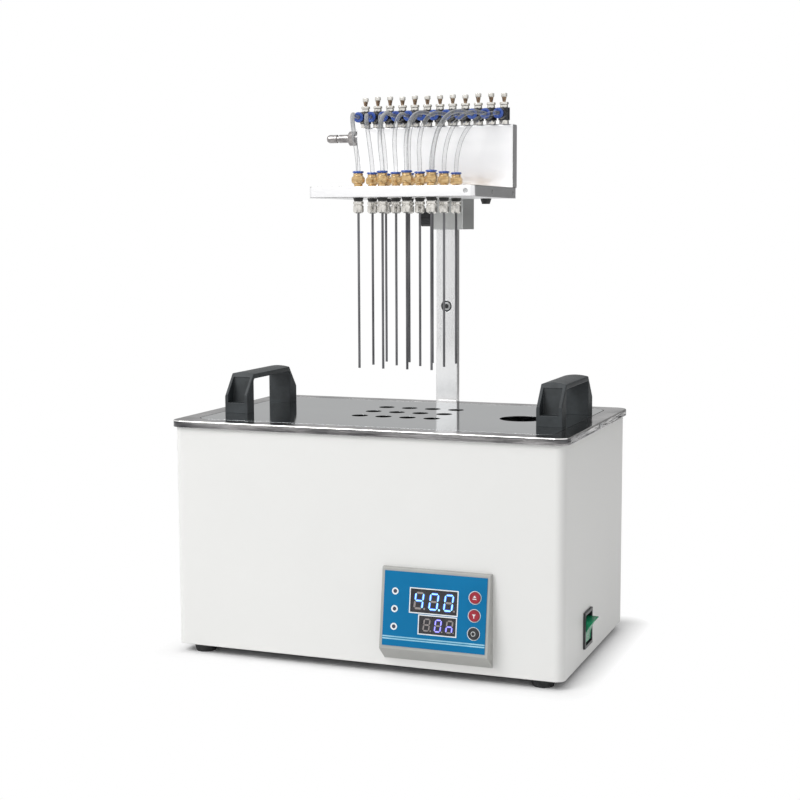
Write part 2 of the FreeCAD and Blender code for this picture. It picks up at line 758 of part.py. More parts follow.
def handles():
    """Bridge handles with a crowned grip, a square finger gap and deep pockets in both ends."""
    half = handle_length / 2
    top = half - handle_slant
    gap = half - handle_leg
    under_bar = handle_height - handle_bar
    pocket_top = handle_height - handle_pocket_headroom
    crown_radius = (handle_width * handle_width / 4 + handle_crown * handle_crown) / (
        2 * handle_crown)
    points = [
        (-half, 0), (-gap, 0), (-gap, under_bar), (gap, under_bar), (gap, 0), (half, 0),
        (half, handle_shoulder), (top, handle_height), (-top, handle_height),
        (-half, handle_shoulder),
    ]
    for node, x in handle_places():
        left = x - handle_width / 2
        bridge = padded(node + "_bridge", "YZ_Plane", points, handle_width)
        put(bridge, left, handle_centre_deep, rim_top)
        eased = rounded(node + "_eased", bridge, handle_corner, window_corner)
        crown = rod(node + "_crown", "y", x, handle_centre_deep - half - 1,
                    rim_top + handle_height - crown_radius, crown_radius, handle_length + 2)
        crowned = doc.addObject("Part::Common", node + "_crowned")
        crowned.Base = eased
        crowned.Tool = crown
        soft = rounded(node + "_soft", crowned, handle_fillet, long_outer_edge)
        tools = []
        for name, end in (("front", -1), ("rear", 1)):
            pocket = padded(node + "_pocket_" + name, "YZ_Plane", [
                (end * (half + 1), handle_pocket_floor),
                (end * (half - handle_pocket_depth), handle_pocket_floor),
                (end * (half - handle_pocket_depth - handle_pocket_lean), pocket_top),
                (end * (half + 1), pocket_top)], handle_width - 2 * handle_wall)
            tools.append(put(pocket, left + handle_wall, handle_centre_deep, rim_top))
        for n, sx, sy in handle_screw_places():
            if float(sx) == float(x):
                tools.append(rod(node + "_tap_%d" % n, "z", sx, sy, rim_top - 1,
                                 handle_screw_radius + fit_gap, handle_screw_length + 1))
        finished(node, cut(node, soft, [fuse(node + "_cuts", tools)]))


def window_corner(edge):
    """The two upper corners of the handle's finger gap."""
    direction = edge.tangentAt(edge.FirstParameter)
    level = float(rim_top + handle_height - handle_bar)
    return abs(direction.x) > 0.99 and on_level(edge, level)


def long_outer_edge(edge):
    """Edges of the handle's outline on its two flat sides, above the shoulder."""
    direction = edge.tangentAt(edge.FirstParameter)
    low = min(v.Z for v in edge.Vertexes)
    return abs(direction.x) < 0.01 and low > float(rim_top) + float(handle_shoulder) - 1


def handle_screws():
    screws = []
    head_radius = handle_screw_radius * screw_head_ratio
    for n, x, y in handle_screw_places():
        head = rod("handle_head_%d" % n, "z", x, y, lid_bottom - screw_head_height, head_radius,
                   screw_head_height)
        stem = rod("handle_stem_%d" % n, "z", x, y, lid_bottom - 1, handle_screw_radius,
                   lid_thickness + handle_screw_length)
        screws.append(fuse("handle_screw_%d" % n, [head, stem]))
    finished("handle_screws", group("handle_screws", screws))


# The control box has a sloping face. Its pieces are made flat, with +X along the face, +Y into
# the box and +Z up the face from its top edge, and are then leaned back to the slope.
face_low = panel_bottom + panel_bevel
face_top = panel_bottom + panel_height
face_run = face_top - face_low
slope_angle = math.degrees(math.atan2(float(panel_low_proud - panel_top_proud), float(face_run)))
face_turn = Rotation(Vector(1, 0, 0), -slope_angle)
face_length = math.hypot(float(panel_low_proud - panel_top_proud), float(face_run))
face_origin = Vector(float(panel_side - panel_width / 2),
                     float(-half_depth - panel_top_proud), float(foot_height + face_top))


def face_deep(drop):
    """Where the sloping face stands, at a drop below its top edge."""
    return -half_depth - panel_top_proud - drop * math.tan(math.radians(slope_angle))


def lean(thing):
    """Leans a flat piece onto the slope of the control box."""
    thing.Placement = Placement(face_origin, face_turn)
    return thing


def control_bezel():
    """Wedge-shaped box with windows, key holes and four bosses for the board behind it."""
    low = foot_height + panel_bottom
    points = [
        (-half_depth, low), (-half_depth, foot_height + face_top),
        (-half_depth - panel_top_proud, foot_height + face_top),
        (-half_depth - panel_low_proud, foot_height + face_low),
    ]
    wedge = padded("bezel_wedge", "YZ_Plane", points, panel_width)
    put(wedge, panel_side - panel_width / 2, 0, 0)
    eased = rounded("bezel_eased", wedge, panel_wall / 2, front_edge)
    wall = panel_wall
    behind = wall / math.cos(math.radians(slope_angle))
    inside = [
        (-half_depth + 1, low + 2 * wall), (-half_depth + 1, foot_height + face_top - wall),
        (face_deep(wall) + behind, foot_height + face_top - wall),
        (face_deep(face_run) + behind, foot_height + face_low),
    ]
    hollow = padded("bezel_hollow", "YZ_Plane", inside, panel_width - 2 * wall)
    put(hollow, panel_side - panel_width / 2 + wall, 0, 0)
    shell = cut("bezel_shell", eased, [hollow])
    windows = [flat_box("bezel_window_" + n, left, top, -1, width, height, panel_wall * 3)
               for n, left, top, width, height in display_places()]
    for n, drop in enumerate(row_drops()):
        windows.append(flat_rod("bezel_led_%d" % n, led_left, drop, -1, led_radius + fit_gap,
                                panel_wall * 3))
        windows.append(flat_rod("bezel_key_%d" % n, key_left, drop, -1, key_radius + key_gap,
                                panel_wall * 3))
    cuts = lean(group("bezel_windows", windows))
    bosses = []
    for n, (left, drop) in enumerate(boss_places()):
        bosses.append(flat_rod("bezel_boss_%d" % n, left, drop, panel_wall - 0.4, boss_radius,
                               display_depth - panel_wall + 0.4))
    posts = lean(group("bezel_bosses", bosses))
    holed = cut("bezel_holed", shell, [cuts])
    finished("control_bezel", fuse("control_bezel", [holed, posts]))


def front_edge(edge):
    """Edges round the sloping face of the control box."""
    ends = edge.Vertexes
    return all(v.Y < -float(half_depth) - 0.5 for v in ends)


def face_left(offset):
    return panel_margin + offset


def flat_box(name, left, drop, depth, width, height, thick):
    """A block of the flat face layout, placed by its left side, its drop and its depth."""
    return box(name, face_left(left), depth, -(panel_margin + drop + height), width, thick,
               height)


def flat_rod(name, left, drop, depth, radius, length):
    return rod(name, "y", face_left(left), depth, -(panel_margin + drop), radius, length)


def display_places():
    yield ("upper", upper_display_left, upper_display_top, upper_display_width,
           upper_display_height)
    yield ("lower", lower_display_left, lower_display_top, lower_display_width,
           lower_display_height)


def row_drops():
    return [key_row_top + key_row_pitch * n for n in range(3)]


def overlay_height():
    return face_length - 2 * panel_margin


def boss_places():
    across = panel_width - 2 * panel_margin
    down = overlay_height()
    inset = board_margin + boss_radius + 1
    for left in (inset, across - inset):
        for drop in (inset, down - inset):
            yield left, drop


def control_overlay():
    sheet_block = flat_box("overlay_sheet_block", 0, 0, -overlay_sheet,
                           panel_width - 2 * panel_margin, overlay_height(), overlay_sheet)
    windows = [flat_box("overlay_window_" + n, left, top, -1, width, height, 2)
               for n, left, top, width, height in display_places()]
    for n, drop in enumerate(row_drops()):
        windows.append(flat_rod("overlay_led_%d" % n, led_left, drop, -1, led_radius + fit_gap, 2))
        windows.append(flat_rod("overlay_key_%d" % n, key_left, drop, -1, key_radius + key_gap, 2))
    cut_sheet = cut("control_overlay", sheet_block, windows)
    finished("control_overlay", lean(cut_sheet))


def displays_and_lamps():
    for n, left, top, width, height in display_places():
        block = flat_box(n + "_block", left + fit_gap, top + fit_gap, -overlay_sheet / 2,
                         width - 2 * fit_gap, height - 2 * fit_gap,
                         display_depth + overlay_sheet / 2)
        finished(n + "_display", lean(group(n + "_display", [block])))
    lamps = [flat_rod("led_%d" % n, led_left, drop, -overlay_sheet, led_radius,
                      display_depth + overlay_sheet) for n, drop in enumerate(row_drops())]
    finished("indicator_leds", lean(group("indicator_leds", lamps)))


def control_board():
    across = panel_width - 2 * panel_margin
    board = flat_box("board_block", board_margin, board_margin, display_depth,
                     across - 2 * board_margin, overlay_height() - 2 * board_margin, board_sheet)
    switches = [flat_rod("board_switch_%d" % n, key_left, drop,
                         display_depth - key_switch_height(), key_radius / 2, key_switch_height())
                for n, drop in enumerate(row_drops())]
    finished("control_board", lean(fuse("control_board", [board] + switches)))


def key_depth():
    return panel_wall + key_flange


def key_switch_height():
    """The switch on the board stops short of the key by its travel."""
    return display_depth - key_depth() - 1


def keys():
    for node, drop in zip(("up_key", "down_key", "set_key"), row_drops()):
        cap = flat_rod(node + "_cap", key_left, drop, -overlay_sheet - key_proud, key_radius,
                       overlay_sheet + key_proud + panel_wall + 0.1)
        eased = rounded(node + "_eased", cap, key_proud / 3,
                        lambda e: e.CenterOfMass.y < -float(overlay_sheet))
        flange = flat_rod(node + "_flange", key_left, drop, panel_wall + 0.1,
                          key_radius + key_flange, key_flange - 0.1)
        finished(node, lean(fuse(node, [eased, flange])))


def switch_frame():
    """Black frame of the rocker switch, with the body that reaches through the casing."""
    level = foot_height + switch_centre_height
    flange = rounded_block("switch_flange_block", half_width,
                           switch_deep - switch_width / 2, level - switch_height / 2,
                           switch_flange, switch_width, switch_height, 0.6)
    body = box("switch_body", half_width - switch_body_depth,
               switch_deep - switch_cut_half_width() + fit_gap, switch_low() + fit_gap,
               switch_body_depth + switch_flange / 2, 2 * (switch_cut_half_width() - fit_gap),
               switch_high() - switch_low() - 2 * fit_gap)
    cavity = box("switch_cavity", half_width - switch_body_depth + 2,
                 switch_deep - rocker_half_width() - rocker_gap,
                 level - rocker_half_height() - rocker_gap,
                 switch_body_depth + switch_flange, 2 * (rocker_half_width() + rocker_gap),
                 2 * (rocker_half_height() + rocker_gap))
    pivot = rod("switch_pivot_hole", "y", rocker_axis(),
                switch_deep - rocker_half_width() - rocker_gap - rocker_pin_length, level,
                rocker_pin_radius + fit_gap,
                2 * (rocker_half_width() + rocker_gap + rocker_pin_length))
    whole = fuse("switch_whole", [flange, body])
    finished("switch_frame", cut("switch_frame", whole, [fuse("switch_cuts", [cavity, pivot])]))


def rocker_half_width():
    return switch_width / 2 - switch_border


def rocker_half_height():
    return switch_height / 2 - switch_border


def rocker_axis():
    return half_width - 1


def switch_rocker():
    """Rocker with a dished face, its upper half standing out."""
    half = rocker_half_height() - rocker_swing_gap
    root = 5
    points = [
        (rocker_face, -half), (rocker_face, half), (-root + 1, half * 0.72), (-root, 0),
        (-root + 1, -half * 0.72),
    ]
    wedge = doc.addObject("PartDesign::Body", "rocker_wedge")
    dished = points[:1] + [(rocker_face - rocker_dip, 0)] + points[1:]
    sketch = outline(wedge, "rocker_outline", "XZ_Plane", dished)
    pad = wedge.newObject("PartDesign::Pad", "rocker_pad")
    pad.Profile = sketch
    bind(pad, "Length", 2 * rocker_half_width())
    sketch.Visibility = False
    doc.recompute()
    put(wedge, 0, rocker_half_width(), 0)
    eased = rounded("rocker_eased", wedge, 0.7, rocker_outer_edge)
    pin_reach = rocker_half_width() + rocker_gap + rocker_pin_length - fit_gap
    pins = rod("rocker_pins", "y", 0, -pin_reach, 0, rocker_pin_radius, 2 * pin_reach)
    rocker = fuse("switch_rocker", [eased, pins])
    level = foot_height + switch_centre_height
    put(rocker, rocker_axis(), switch_deep, level,
        Rotation(Vector(0, 1, 0), float(rocker_tilt)))
    finished("switch_rocker", rocker)


def rocker_outer_edge(edge):
    """Edges of the rocker's two ends and of its sides that face out."""
    ends = edge.Vertexes
    return all(v.X > float(rocker_face - rocker_dip) - 0.1 for v in ends)


def mains_gland():
    level = foot_height + gland_height
    flange = hexagon("gland_flange_block", "y", gland_side, half_depth, level,
                     gland_flange_radius, gland_flange)
    outer = rod("gland_outer", "y", gland_side, half_depth + gland_flange, level,
                gland_barrel_radius, gland_length - gland_flange)
    tail_rear = half_depth - case_wall - gland_tail
    inner = rod("gland_inner", "y", gland_side, tail_rear, level, gland_barrel_radius,
                case_wall + gland_tail)
    nut = hexagon("gland_nut_block", "y", gland_side, half_depth - case_wall - gland_nut, level,
                  gland_flange_radius, gland_nut)
    bore = rod("gland_bore", "y", gland_side, tail_rear - 1, level, gland_bore_radius,
               gland_length + case_wall + gland_tail + 2)
    whole = fuse("gland_whole", [flange, outer, inner, nut])
    finished("mains_gland", cut("mains_gland", whole, [bore]))


def power_board():
    """Relay and supply board on four pillars on the base plate."""
    x = -power_board_width / 2
    y = -power_board_depth / 2
    board = box("power_sheet", x, y, base_top + power_board_lift, power_board_width,
                power_board_depth, board_sheet)
    pieces = [board]
    for n, (fx, fy) in enumerate(((0.08, 0.1), (0.92, 0.1), (0.08, 0.9), (0.92, 0.9))):
        pieces.append(rod("power_pillar_%d" % n, "z", x + power_board_width * fx,
                          y + power_board_depth * fy, base_top, boss_radius,
                          power_board_lift + board_sheet / 2))
    for n, fx in enumerate((0.15, 0.42, 0.69)):
        pieces.append(box("power_relay_%d" % n, x + power_board_width * fx,
                          y + power_board_depth * 0.3, base_top + power_board_lift,
                          power_board_width * 0.18, power_board_depth * 0.4,
                          relay_height + board_sheet))
    finished("power_board", fuse("power_board", pieces))


def post_screw_levels():
    """Heights of the screws that hold the post to its bracket."""
    low = post_foot + bracket_height * 0.15
    high = post_foot + bracket_height * 0.85
    return low, high


def bracket():
    block = rounded_block("bracket_block", -bracket_width / 2, half_depth, post_foot,
                          bracket_width, post_standoff, bracket_height, 2)
    holes = [rod("bracket_hole_%d" % n, "y", 0, half_depth - 1, level,
                 post_screw_radius + fit_gap, post_standoff + 2)
             for n, level in enumerate(post_screw_levels())]
    finished("post_bracket", cut("post_bracket", block, holes))


def post():
    bar = padded("post_bar", "XY_Plane", [
        (-post_width / 2, post_front), (post_width / 2, post_front),
        (post_width / 2, post_front + post_thickness),
        (-post_width / 2, post_front + post_thickness)], post_top - post_foot)
    put(bar, 0, 0, post_foot)
    eased = rounded("post_eased", bar, 0.8, upright)
    holes = [rod("post_hole_%d" % n, "y", 0, post_front - 1, level,
                 post_screw_radius + fit_gap, post_thickness + 2)
             for n, level in enumerate(post_screw_levels())]
    holes.append(rod("post_cap_hole", "y", 0, post_front - 1, cap_screw_height,
                     cap_screw_radius * 0.6 + fit_gap, post_thickness + 2))
    holes.append(rod("post_cap_sink", "y", 0, post_front - 1, cap_screw_height,
                     cap_screw_radius + 0.5, cap_screw_sink + 1.6))
    finished("slide_post", cut("slide_post", eased, [fuse("post_cuts", holes)]))


def post_screws():
    rear = post_front + post_thickness
    screws = []
    for n, level in enumerate(post_screw_levels()):
        stem = rod("post_screw_stem_%d" % n, "y", 0, half_depth, level, post_screw_radius,
                   post_standoff + post_thickness + 1)
        head = rod("post_screw_head_%d" % n, "y", 0, rear, level,
                   post_screw_radius * screw_head_ratio, screw_head_height)
        screws.append(fuse("post_screw_%d" % n, [stem, head]))
    cap = rod("cap_head", "y", 0, post_front + 0.6, cap_screw_height, cap_screw_radius,
              cap_screw_sink)
    socket = hexagon("cap_socket", "y", 0, post_front, cap_screw_height,
                     cap_screw_radius * 0.55, cap_screw_sink * 0.6 + 0.6)
    stem = rod("cap_stem", "y", 0, post_front + cap_screw_sink, cap_screw_height,
               cap_screw_radius * 0.6, post_thickness - cap_screw_sink)
    screws.append(cut("cap_screw", fuse("cap_whole", [cap, stem]), [socket]))
    finished("post_screws", group("post_screws", screws))


def slider_block():
    """Carriage that runs on the post, with a pad that the manifold is screwed to."""
    front = post_front - slider_front_wall
    low = head_bottom - slider_drop
    block = rounded_block("slider_main", -slider_left, front, low, slider_left + slider_right,
                          slider_depth, slider_height, 1)
    pad = box("slider_pad", -slider_left, head_rear, head_top + slider_pad_lift,
              slider_left + slider_right, front - head_rear + 1,
              low + slider_height - head_top - slider_pad_lift)
    channel = box("slider_channel", -post_width / 2 - slider_gap, post_front - slider_gap,
                  low - 1, post_width + 2 * slider_gap, post_thickness + 2 * slider_gap,
                  slider_height + 2)
    tap = rod("slider_tap", "x", -slider_left - 1, post_deep, low + clamp_height,
              clamp_stem_radius + fit_gap, slider_left + 1 - post_width / 2)
    whole = fuse("slider_whole", [block, pad])
    finished("slider_block", cut("slider_block", whole, [fuse("slider_cuts", [channel, tap])]))


def clamp_knob():
    """Fluted clamping knob whose screw bears on the side of the post."""
    level = head_bottom - slider_drop + clamp_height
    face = -slider_left - clamp_stem_gap
    grip = rod("clamp_grip", "-x", face, post_deep, level, clamp_radius, clamp_length)
    eased = rounded("clamp_eased", grip, 1.0, lambda e: e.Closed)
    flutes = []
    count = 16
    for n in range(count):
        turn = 2 * math.pi * n / count
        flutes.append(rod("clamp_flute_%d" % n, "-x", face + 1,
                          post_deep + clamp_radius * math.cos(turn),
                          level + clamp_radius * math.sin(turn), clamp_groove * 0.6,
                          clamp_length + 2))
    fluted = cut("clamp_fluted", eased, flutes)
    stem = rod("clamp_stem", "x", face - 1, post_deep, level, clamp_stem_radius,
               1 + clamp_stem_gap + slider_left - post_width / 2 - slider_gap / 2)
    finished("clamp_knob", fuse("clamp_knob", [fluted, stem]))


def needle_plate():
    plate = rounded_block("plate_block", -head_width / 2, head_front, head_bottom, head_width,
                          head_depth, head_plate, head_corner)
    holes = [rod("plate_hole_%d" % n, "z", x, y, head_bottom - 1,
                 fitting_shank_radius + fit_gap, head_plate + 2) for n, x, y in grid_places()]
    for n, x in enumerate((-manifold_screw_side, manifold_screw_side)):
        holes.append(rod("plate_screw_hole_%d" % n, "z", x, valve_deep, head_bottom - 1,
                         manifold_screw_shank + fit_gap, head_plate + 2))
    for n, side, x, y in plug_places():
        holes.append(rod("plate_plug_hole_%d" % n, side, x, y, head_bottom + head_plate / 2,
                         plug_radius + fit_gap, plug_length + 2))
    finished("needle_plate", cut("needle_plate", plate, holes))


def plug_places():
    """Small set screws in the edge of the plate: where each starts, sunk in the edge."""
    yield 1, "y", head_width / 2 - plug_inset, head_front - 1
    yield 2, "-x", head_width / 2 + 1, head_front + head_depth * 0.4
    yield 3, "-x", head_width / 2 + 1, head_rear - manifold_thickness


def plate_plugs():
    plugs = []
    for n, side, x, y in plug_places():
        start_x = x - 1.3 if side == "-x" else x
        start_y = y + 1.3 if side == "y" else y
        plugs.append(rod("plate_plug_%d" % n, side, start_x, start_y,
                         head_bottom + head_plate / 2, plug_radius, plug_length))
    finished("plate_plugs", group("plate_plugs", plugs))


def manifold():
    """Thick end panel with the gas channel bored along it and a port under each valve."""
    block = box("manifold_block", -head_width / 2, manifold_front, head_top, head_width,
                manifold_thickness, manifold_height)
    eased = rounded("manifold_eased", block, 1.2, lambda e: on_level(e, manifold_top))
    channel = rod("manifold_channel", "x", -head_width / 2 - 1, valve_deep,
                  head_top + tail_height, manifold_bore, head_width - 6)
    ports = [rod("manifold_port_%d" % n, "z", x, valve_deep, head_top + tail_height,
                 manifold_bore / 2, manifold_height - tail_height + 1) for n, x in valve_places()]
    taps = [rod("manifold_tap_%d" % n, "z", x, valve_deep, head_top - 1,
                manifold_screw_shank + fit_gap, manifold_screw_reach() + 1)
            for n, x in enumerate((-manifold_screw_side, manifold_screw_side))]
    cuts = fuse("manifold_cuts", [channel] + ports + taps)
    finished("manifold_panel", cut("manifold_panel", eased, [cuts]))


def manifold_screw_reach():
    return manifold_height / 3


def manifold_screws():
    screws = []
    for n, x in enumerate((-manifold_screw_side, manifold_screw_side)):
        head = cone("manifold_head_%d" % n, "z", x, valve_deep, head_bottom - manifold_screw_head,
                    manifold_screw_radius * 0.7, manifold_screw_radius, manifold_screw_head)
        stem = rod("manifold_stem_%d" % n, "z", x, valve_deep, head_bottom - 1,
                   manifold_screw_shank, head_plate + manifold_screw_reach())
        screws.append(fuse("manifold_screw_%d" % n, [head, stem]))
    finished("manifold_screws", group("manifold_screws", screws))


def valve_places():
    """Valve positions along the manifold, left to right."""
    for n in range(VALVES):
        yield n + 1, valve_shift + valve_pitch * (n - (VALVES - 1) / 2)


# How far each valve is open: one stands higher than the next, as they were left
KNOB_STEPS = (0, 1, 0.9, 0.2, 1, 0.3, 0.4, 0.8, 0, 1, 0.7, 0.3)


def valves():
    nuts = []
    bodies = []
    collets = []
    stems = []
    body_low = manifold_top + valve_nut
    body_high = body_low + valve_body_height
    lock_low = body_high + valve_collar
    stem_low = lock_low + valve_lock_nut
    collet_level = body_low + valve_barrel_radius + valve_barrel_lift
    collet_rear = valve_deep - valve_barrel_reach
    for n, x in valve_places():
        nuts.append(hexagon("valve_nut_%d" % n, "z", x, valve_deep, manifold_top,
                            valve_nut_radius, valve_nut))
        upper = hexagon("valve_collar_%d" % n, "z", x, valve_deep, body_high,
                        valve_collar_radius, valve_collar)
        lock = rod("valve_lock_%d" % n, "z", x, valve_deep, lock_low, valve_lock_radius,
                   valve_lock_nut)
        nuts.append(fuse("valve_top_%d" % n, [upper, lock]))
        tower = rod("valve_tower_%d" % n, "z", x, valve_deep, body_low, valve_body_radius,
                    valve_body_height)
        barrel = rod("valve_barrel_%d" % n, "y", x, collet_rear, collet_level,
                     valve_barrel_radius, valve_barrel_reach)
        bodies.append(fuse("valve_body_%d" % n, [tower, barrel]))
        neck = rod("collet_neck_%d" % n, "-y", x, collet_rear, collet_level,
                   collet_neck_radius, collet_neck)
        disc = rod("collet_disc_%d" % n, "-y", x, collet_rear - collet_neck, collet_level,
                   collet_disc_radius, collet_disc)
        collets.append(fuse("collet_%d" % n, [neck, disc]))
        stem_height = valve_stem + knob_lift * KNOB_STEPS[n - 1]
        stems.append(cone("valve_stem_%d" % n, "z", x, valve_deep, stem_low, valve_stem_radius,
                          valve_stem_flare, stem_height))
        knob_low = stem_low + stem_height
        knob = rod("knob_%d" % n, "z", x, valve_deep, knob_low, knob_radius, knob_height)
        eased = rounded("knob_eased_%d" % n, knob, 0.4, lambda e: e.Closed)
        slot = box("knob_slot_%d" % n, x - knob_radius - 1, valve_deep - 0.4,
                   knob_low + knob_height - 0.9, 2 * knob_radius + 2, 0.8, 2)
        finished("valve_knob_%02d" % n, cut("valve_knob_%02d" % n, eased, [slot]))
    finished("valve_nuts", group("valve_nuts", nuts))
    finished("valve_bodies", group("valve_bodies", bodies))
    finished("valve_collets", group("valve_collets", collets))
    finished("valve_stems", group("valve_stems", stems))


def inlet_tail():
    """Hose tail on the left end of the manifold, where the gas line is pushed on."""
    level = head_top + tail_height
    x = -head_width / 2
    shoulder = rod("tail_shoulder_ring", "-x", x, valve_deep, level, tail_radius + 1,
                   tail_shoulder)
    x_hex = x - tail_shoulder
    nut = hexagon("tail_nut", "-x", x_hex, valve_deep, level, tail_hex_radius, tail_hex)
    x_barrel = x_hex - tail_hex
    barrel = rod("tail_barrel_rod", "-x", x_barrel, valve_deep, level, tail_radius, tail_barrel)
    x_groove = x_barrel - tail_barrel
    groove = rod("tail_groove_rod", "-x", x_groove, valve_deep, level, tail_groove_radius,
                 tail_groove)
    x_end = x_groove - tail_groove
    end = rod("tail_end_rod", "-x", x_end, valve_deep, level, tail_radius, tail_end)
    taper = cone("tail_taper_cone", "-x", x_end - tail_end, valve_deep, level, tail_radius,
                 tail_groove_radius, tail_taper)
    whole = fuse("tail_whole", [shoulder, nut, barrel, groove, end, taper])
    length = tail_shoulder + tail_hex + tail_barrel + tail_groove + tail_end + tail_taper
    bore = rod("tail_bore", "-x", x + 1, valve_deep, level, tail_bore_radius, length + 2)
    finished("inlet_tail", cut("inlet_tail", whole, [bore]))


def fittings_and_needles():
    fittings = []
    collars = []
    seals = []
    nuts = []
    needles = []
    hex_top = head_top + fitting_hex
    neck_top = hex_top + fitting_neck
    shank_low = head_bottom - fitting_shank
    seal_low = head_bottom - seal_height
    nut_low = seal_low - needle_nut
    bore = fitting_shank_radius + fit_gap
    for n, x, y in grid_places():
        hexed = hexagon("fitting_hex_%d" % n, "z", x, y, head_top, fitting_hex_radius,
                        fitting_hex)
        neck = cone("fitting_neck_%d" % n, "z", x, y, hex_top, fitting_hex_radius * 0.86,
                    fitting_neck_radius, fitting_neck)
        shank = rod("fitting_shank_%d" % n, "z", x, y, shank_low, fitting_shank_radius,
                    fitting_shank + head_plate + 1)
        fittings.append(fuse("fitting_%d" % n, [hexed, neck, shank]))
        collars.append(rod("fitting_collar_%d" % n, "z", x, y, neck_top, fitting_collar_radius,
                           fitting_collar))
        ring = cone("seal_cone_%d" % n, "z", x, y, seal_low, seal_low_radius, seal_top_radius,
                    seal_height)
        hole = rod("seal_hole_%d" % n, "z", x, y, seal_low - 1, bore, seal_height + 2)
        seals.append(cut("seal_%d" % n, ring, [hole]))
        nut = hexagon("needle_nut_hex_%d" % n, "z", x, y, nut_low, needle_nut_radius, needle_nut)
        wide = rod("needle_nut_wide_%d" % n, "z", x, y, shank_low, bore,
                   seal_low - shank_low + 1)
        narrow = rod("needle_nut_narrow_%d" % n, "z", x, y, nut_low - 1, needle_radius + fit_gap,
                     shank_low - nut_low + 2)
        nuts.append(cut("needle_nut_%d" % n, nut, [fuse("needle_nut_cut_%d" % n,
                                                        [wide, narrow])]))
        outer = rod("needle_outer_%d" % n, "z", x, y, needle_tip_height, needle_radius,
                    shank_low - needle_tip_height)
        lumen = rod("needle_lumen_%d" % n, "z", x, y, needle_tip_height - 1, needle_radius / 2,
                    shank_low - needle_tip_height + 2)
        needles.append(cut("needle_%d" % n, outer, [lumen]))
    finished("tube_fittings", group("tube_fittings", fittings))
    finished("fitting_collars", group("fitting_collars", collars))
    finished("needle_seals", group("needle_seals", seals))
    finished("needle_nuts", group("needle_nuts", nuts))
    finished("needles", group("needles", needles))


# Gas tubes: each leaves its collet forwards and arches down to its fitting. Valves 1 to 3 feed
# the left column of fittings from front to back, valves 4 to 6 the next, and so on.
LEAD = 6.0
TUBE_STATIONS = (0.0, 0.14, 0.29, 0.45, 0.61, 0.76, 0.89, 1.0)
# For each row, front to back: how far forwards and upwards the tube pushes off, and how far
# above its fitting it turns down
TUBE_BOWS = ((50, 7, 30), (33, 5, 32), (20, -3, 34))
# How far each tube leans sideways as it pushes off, and how far it swings past its fitting on
# the way down
TUBE_LEANS = (14, 9, 6, 6, 4, 1, -3, -6, -7, -8, -11, -13)
TUBE_SWINGS = (-4, -4, -2, -5, -4, -2, -3, -4, 1, 3, 1, 2)


def bezier(a, b, c, d, t):
    u = 1 - t
    return a * (u ** 3) + b * (3 * u * u * t) + c * (3 * u * t * t) + d * (t ** 3)


def tube_routes():
    fitting = {(row, column): (x, y) for (n, x, y) in grid_places()
               for row, column in [divmod(n - 1, COLUMNS)]}
    collet_level = manifold_top + valve_nut + valve_barrel_radius + valve_barrel_lift
    collet_face = valve_deep - valve_barrel_reach - collet_neck - collet_disc
    collar_top = head_top + fitting_hex + fitting_neck + fitting_collar
    for n, x in valve_places():
        column, row = divmod(n - 1, ROWS)
        fx, fy = fitting[(row, column)]
        forward, rise, turn = TUBE_BOWS[row]
        lean = TUBE_LEANS[n - 1]
        swing = TUBE_SWINGS[n - 1]
        start = Vector(float(x), float(collet_face), float(collet_level))
        end = Vector(float(fx), float(fy), float(collar_top))
        off = start + Vector(0, -LEAD, 0)
        on = end + Vector(0, 0, LEAD)
        push = off + Vector(lean, -forward, rise)
        drop = on + Vector(swing, 0, turn)
        route = [bezier(off, push, drop, on, t) for t in TUBE_STATIONS]
        yield n, [start] + route + [end]


def arc_path(points):
    """Straight runs joined by tangent arcs; returns the wire and the arc radii."""
    edges = []
    radii = []
    last = points[0]
    for before, corner, after in zip(points, points[1:], points[2:]):
        back = before - corner
        ahead = after - corner
        half_turn = (math.pi - back.getAngle(ahead)) / 2
        reach = 0.45 * min(back.Length, ahead.Length)
        radius = reach / math.tan(half_turn)
        back.normalize()
        ahead.normalize()
        begin = corner + back * reach
        finish = corner + ahead * reach
        middle_way = back + ahead
        middle_way.normalize()
        centre = corner + middle_way * math.hypot(radius, reach)
        middle = centre - middle_way * radius
        edges.append(Part.LineSegment(last, begin).toShape())
        edges.append(Part.Arc(begin, middle, finish).toShape())
        radii.append(radius)
        last = finish
    edges.append(Part.LineSegment(last, points[-1]).toShape())
    return Part.Wire(edges), radii


def gas_tubes():
    solids = []
    for n, points in tube_routes():
        wire, radii = arc_path(points)
        first = points[1] - points[0]
        ring = Part.Wire([Part.Circle(points[0], first, float(tube_radius)).toShape()])
        solid = wire.makePipeShell([ring], True, False)
        expected = math.pi * float(tube_radius) ** 2 * wire.Length
        print("tube", n, "least radius %.1f" % min(radii), "length %.1f" % wire.Length,
              "volume share %.4f" % (solid.Volume / expected))
        solids.append(solid)
    thing = doc.addObject("Part::Feature", "gas_tubes")
    thing.Shape = Part.makeCompound(solids)
    finished("gas_tubes", thing)


casing_shell()
base_plate()
rubber_feet()
top_rim()
rim_screws()
inner_tank()
tank_insulation()
heater_element()
temperature_probe()
tank_shelf()
lid_plate()
handles()
handle_screws()
control_bezel()
control_overlay()
displays_and_lamps()
control_board()
keys()
switch_frame()
switch_rocker()
mains_gland()
power_board()
bracket()
post()
post_screws()
slider_block()
clamp_knob()
needle_plate()
plate_plugs()
manifold()
manifold_screws()
valves()
inlet_tail()
fittings_and_needles()
gas_tubes()

doc.recompute()

faults = []
for thing in doc.Objects:
    if "Invalid" in thing.State or "Error" in thing.State:
        faults.append("%s is %s" % (thing.Name, thing.State))
for thing in nodes:
    shape = thing.Shape
    if shape.isNull() or not shape.isValid() or not shape.Solids:
        faults.append("%s has no valid solid" % thing.Label)
if faults:
    raise SystemExit("\n".join(faults))

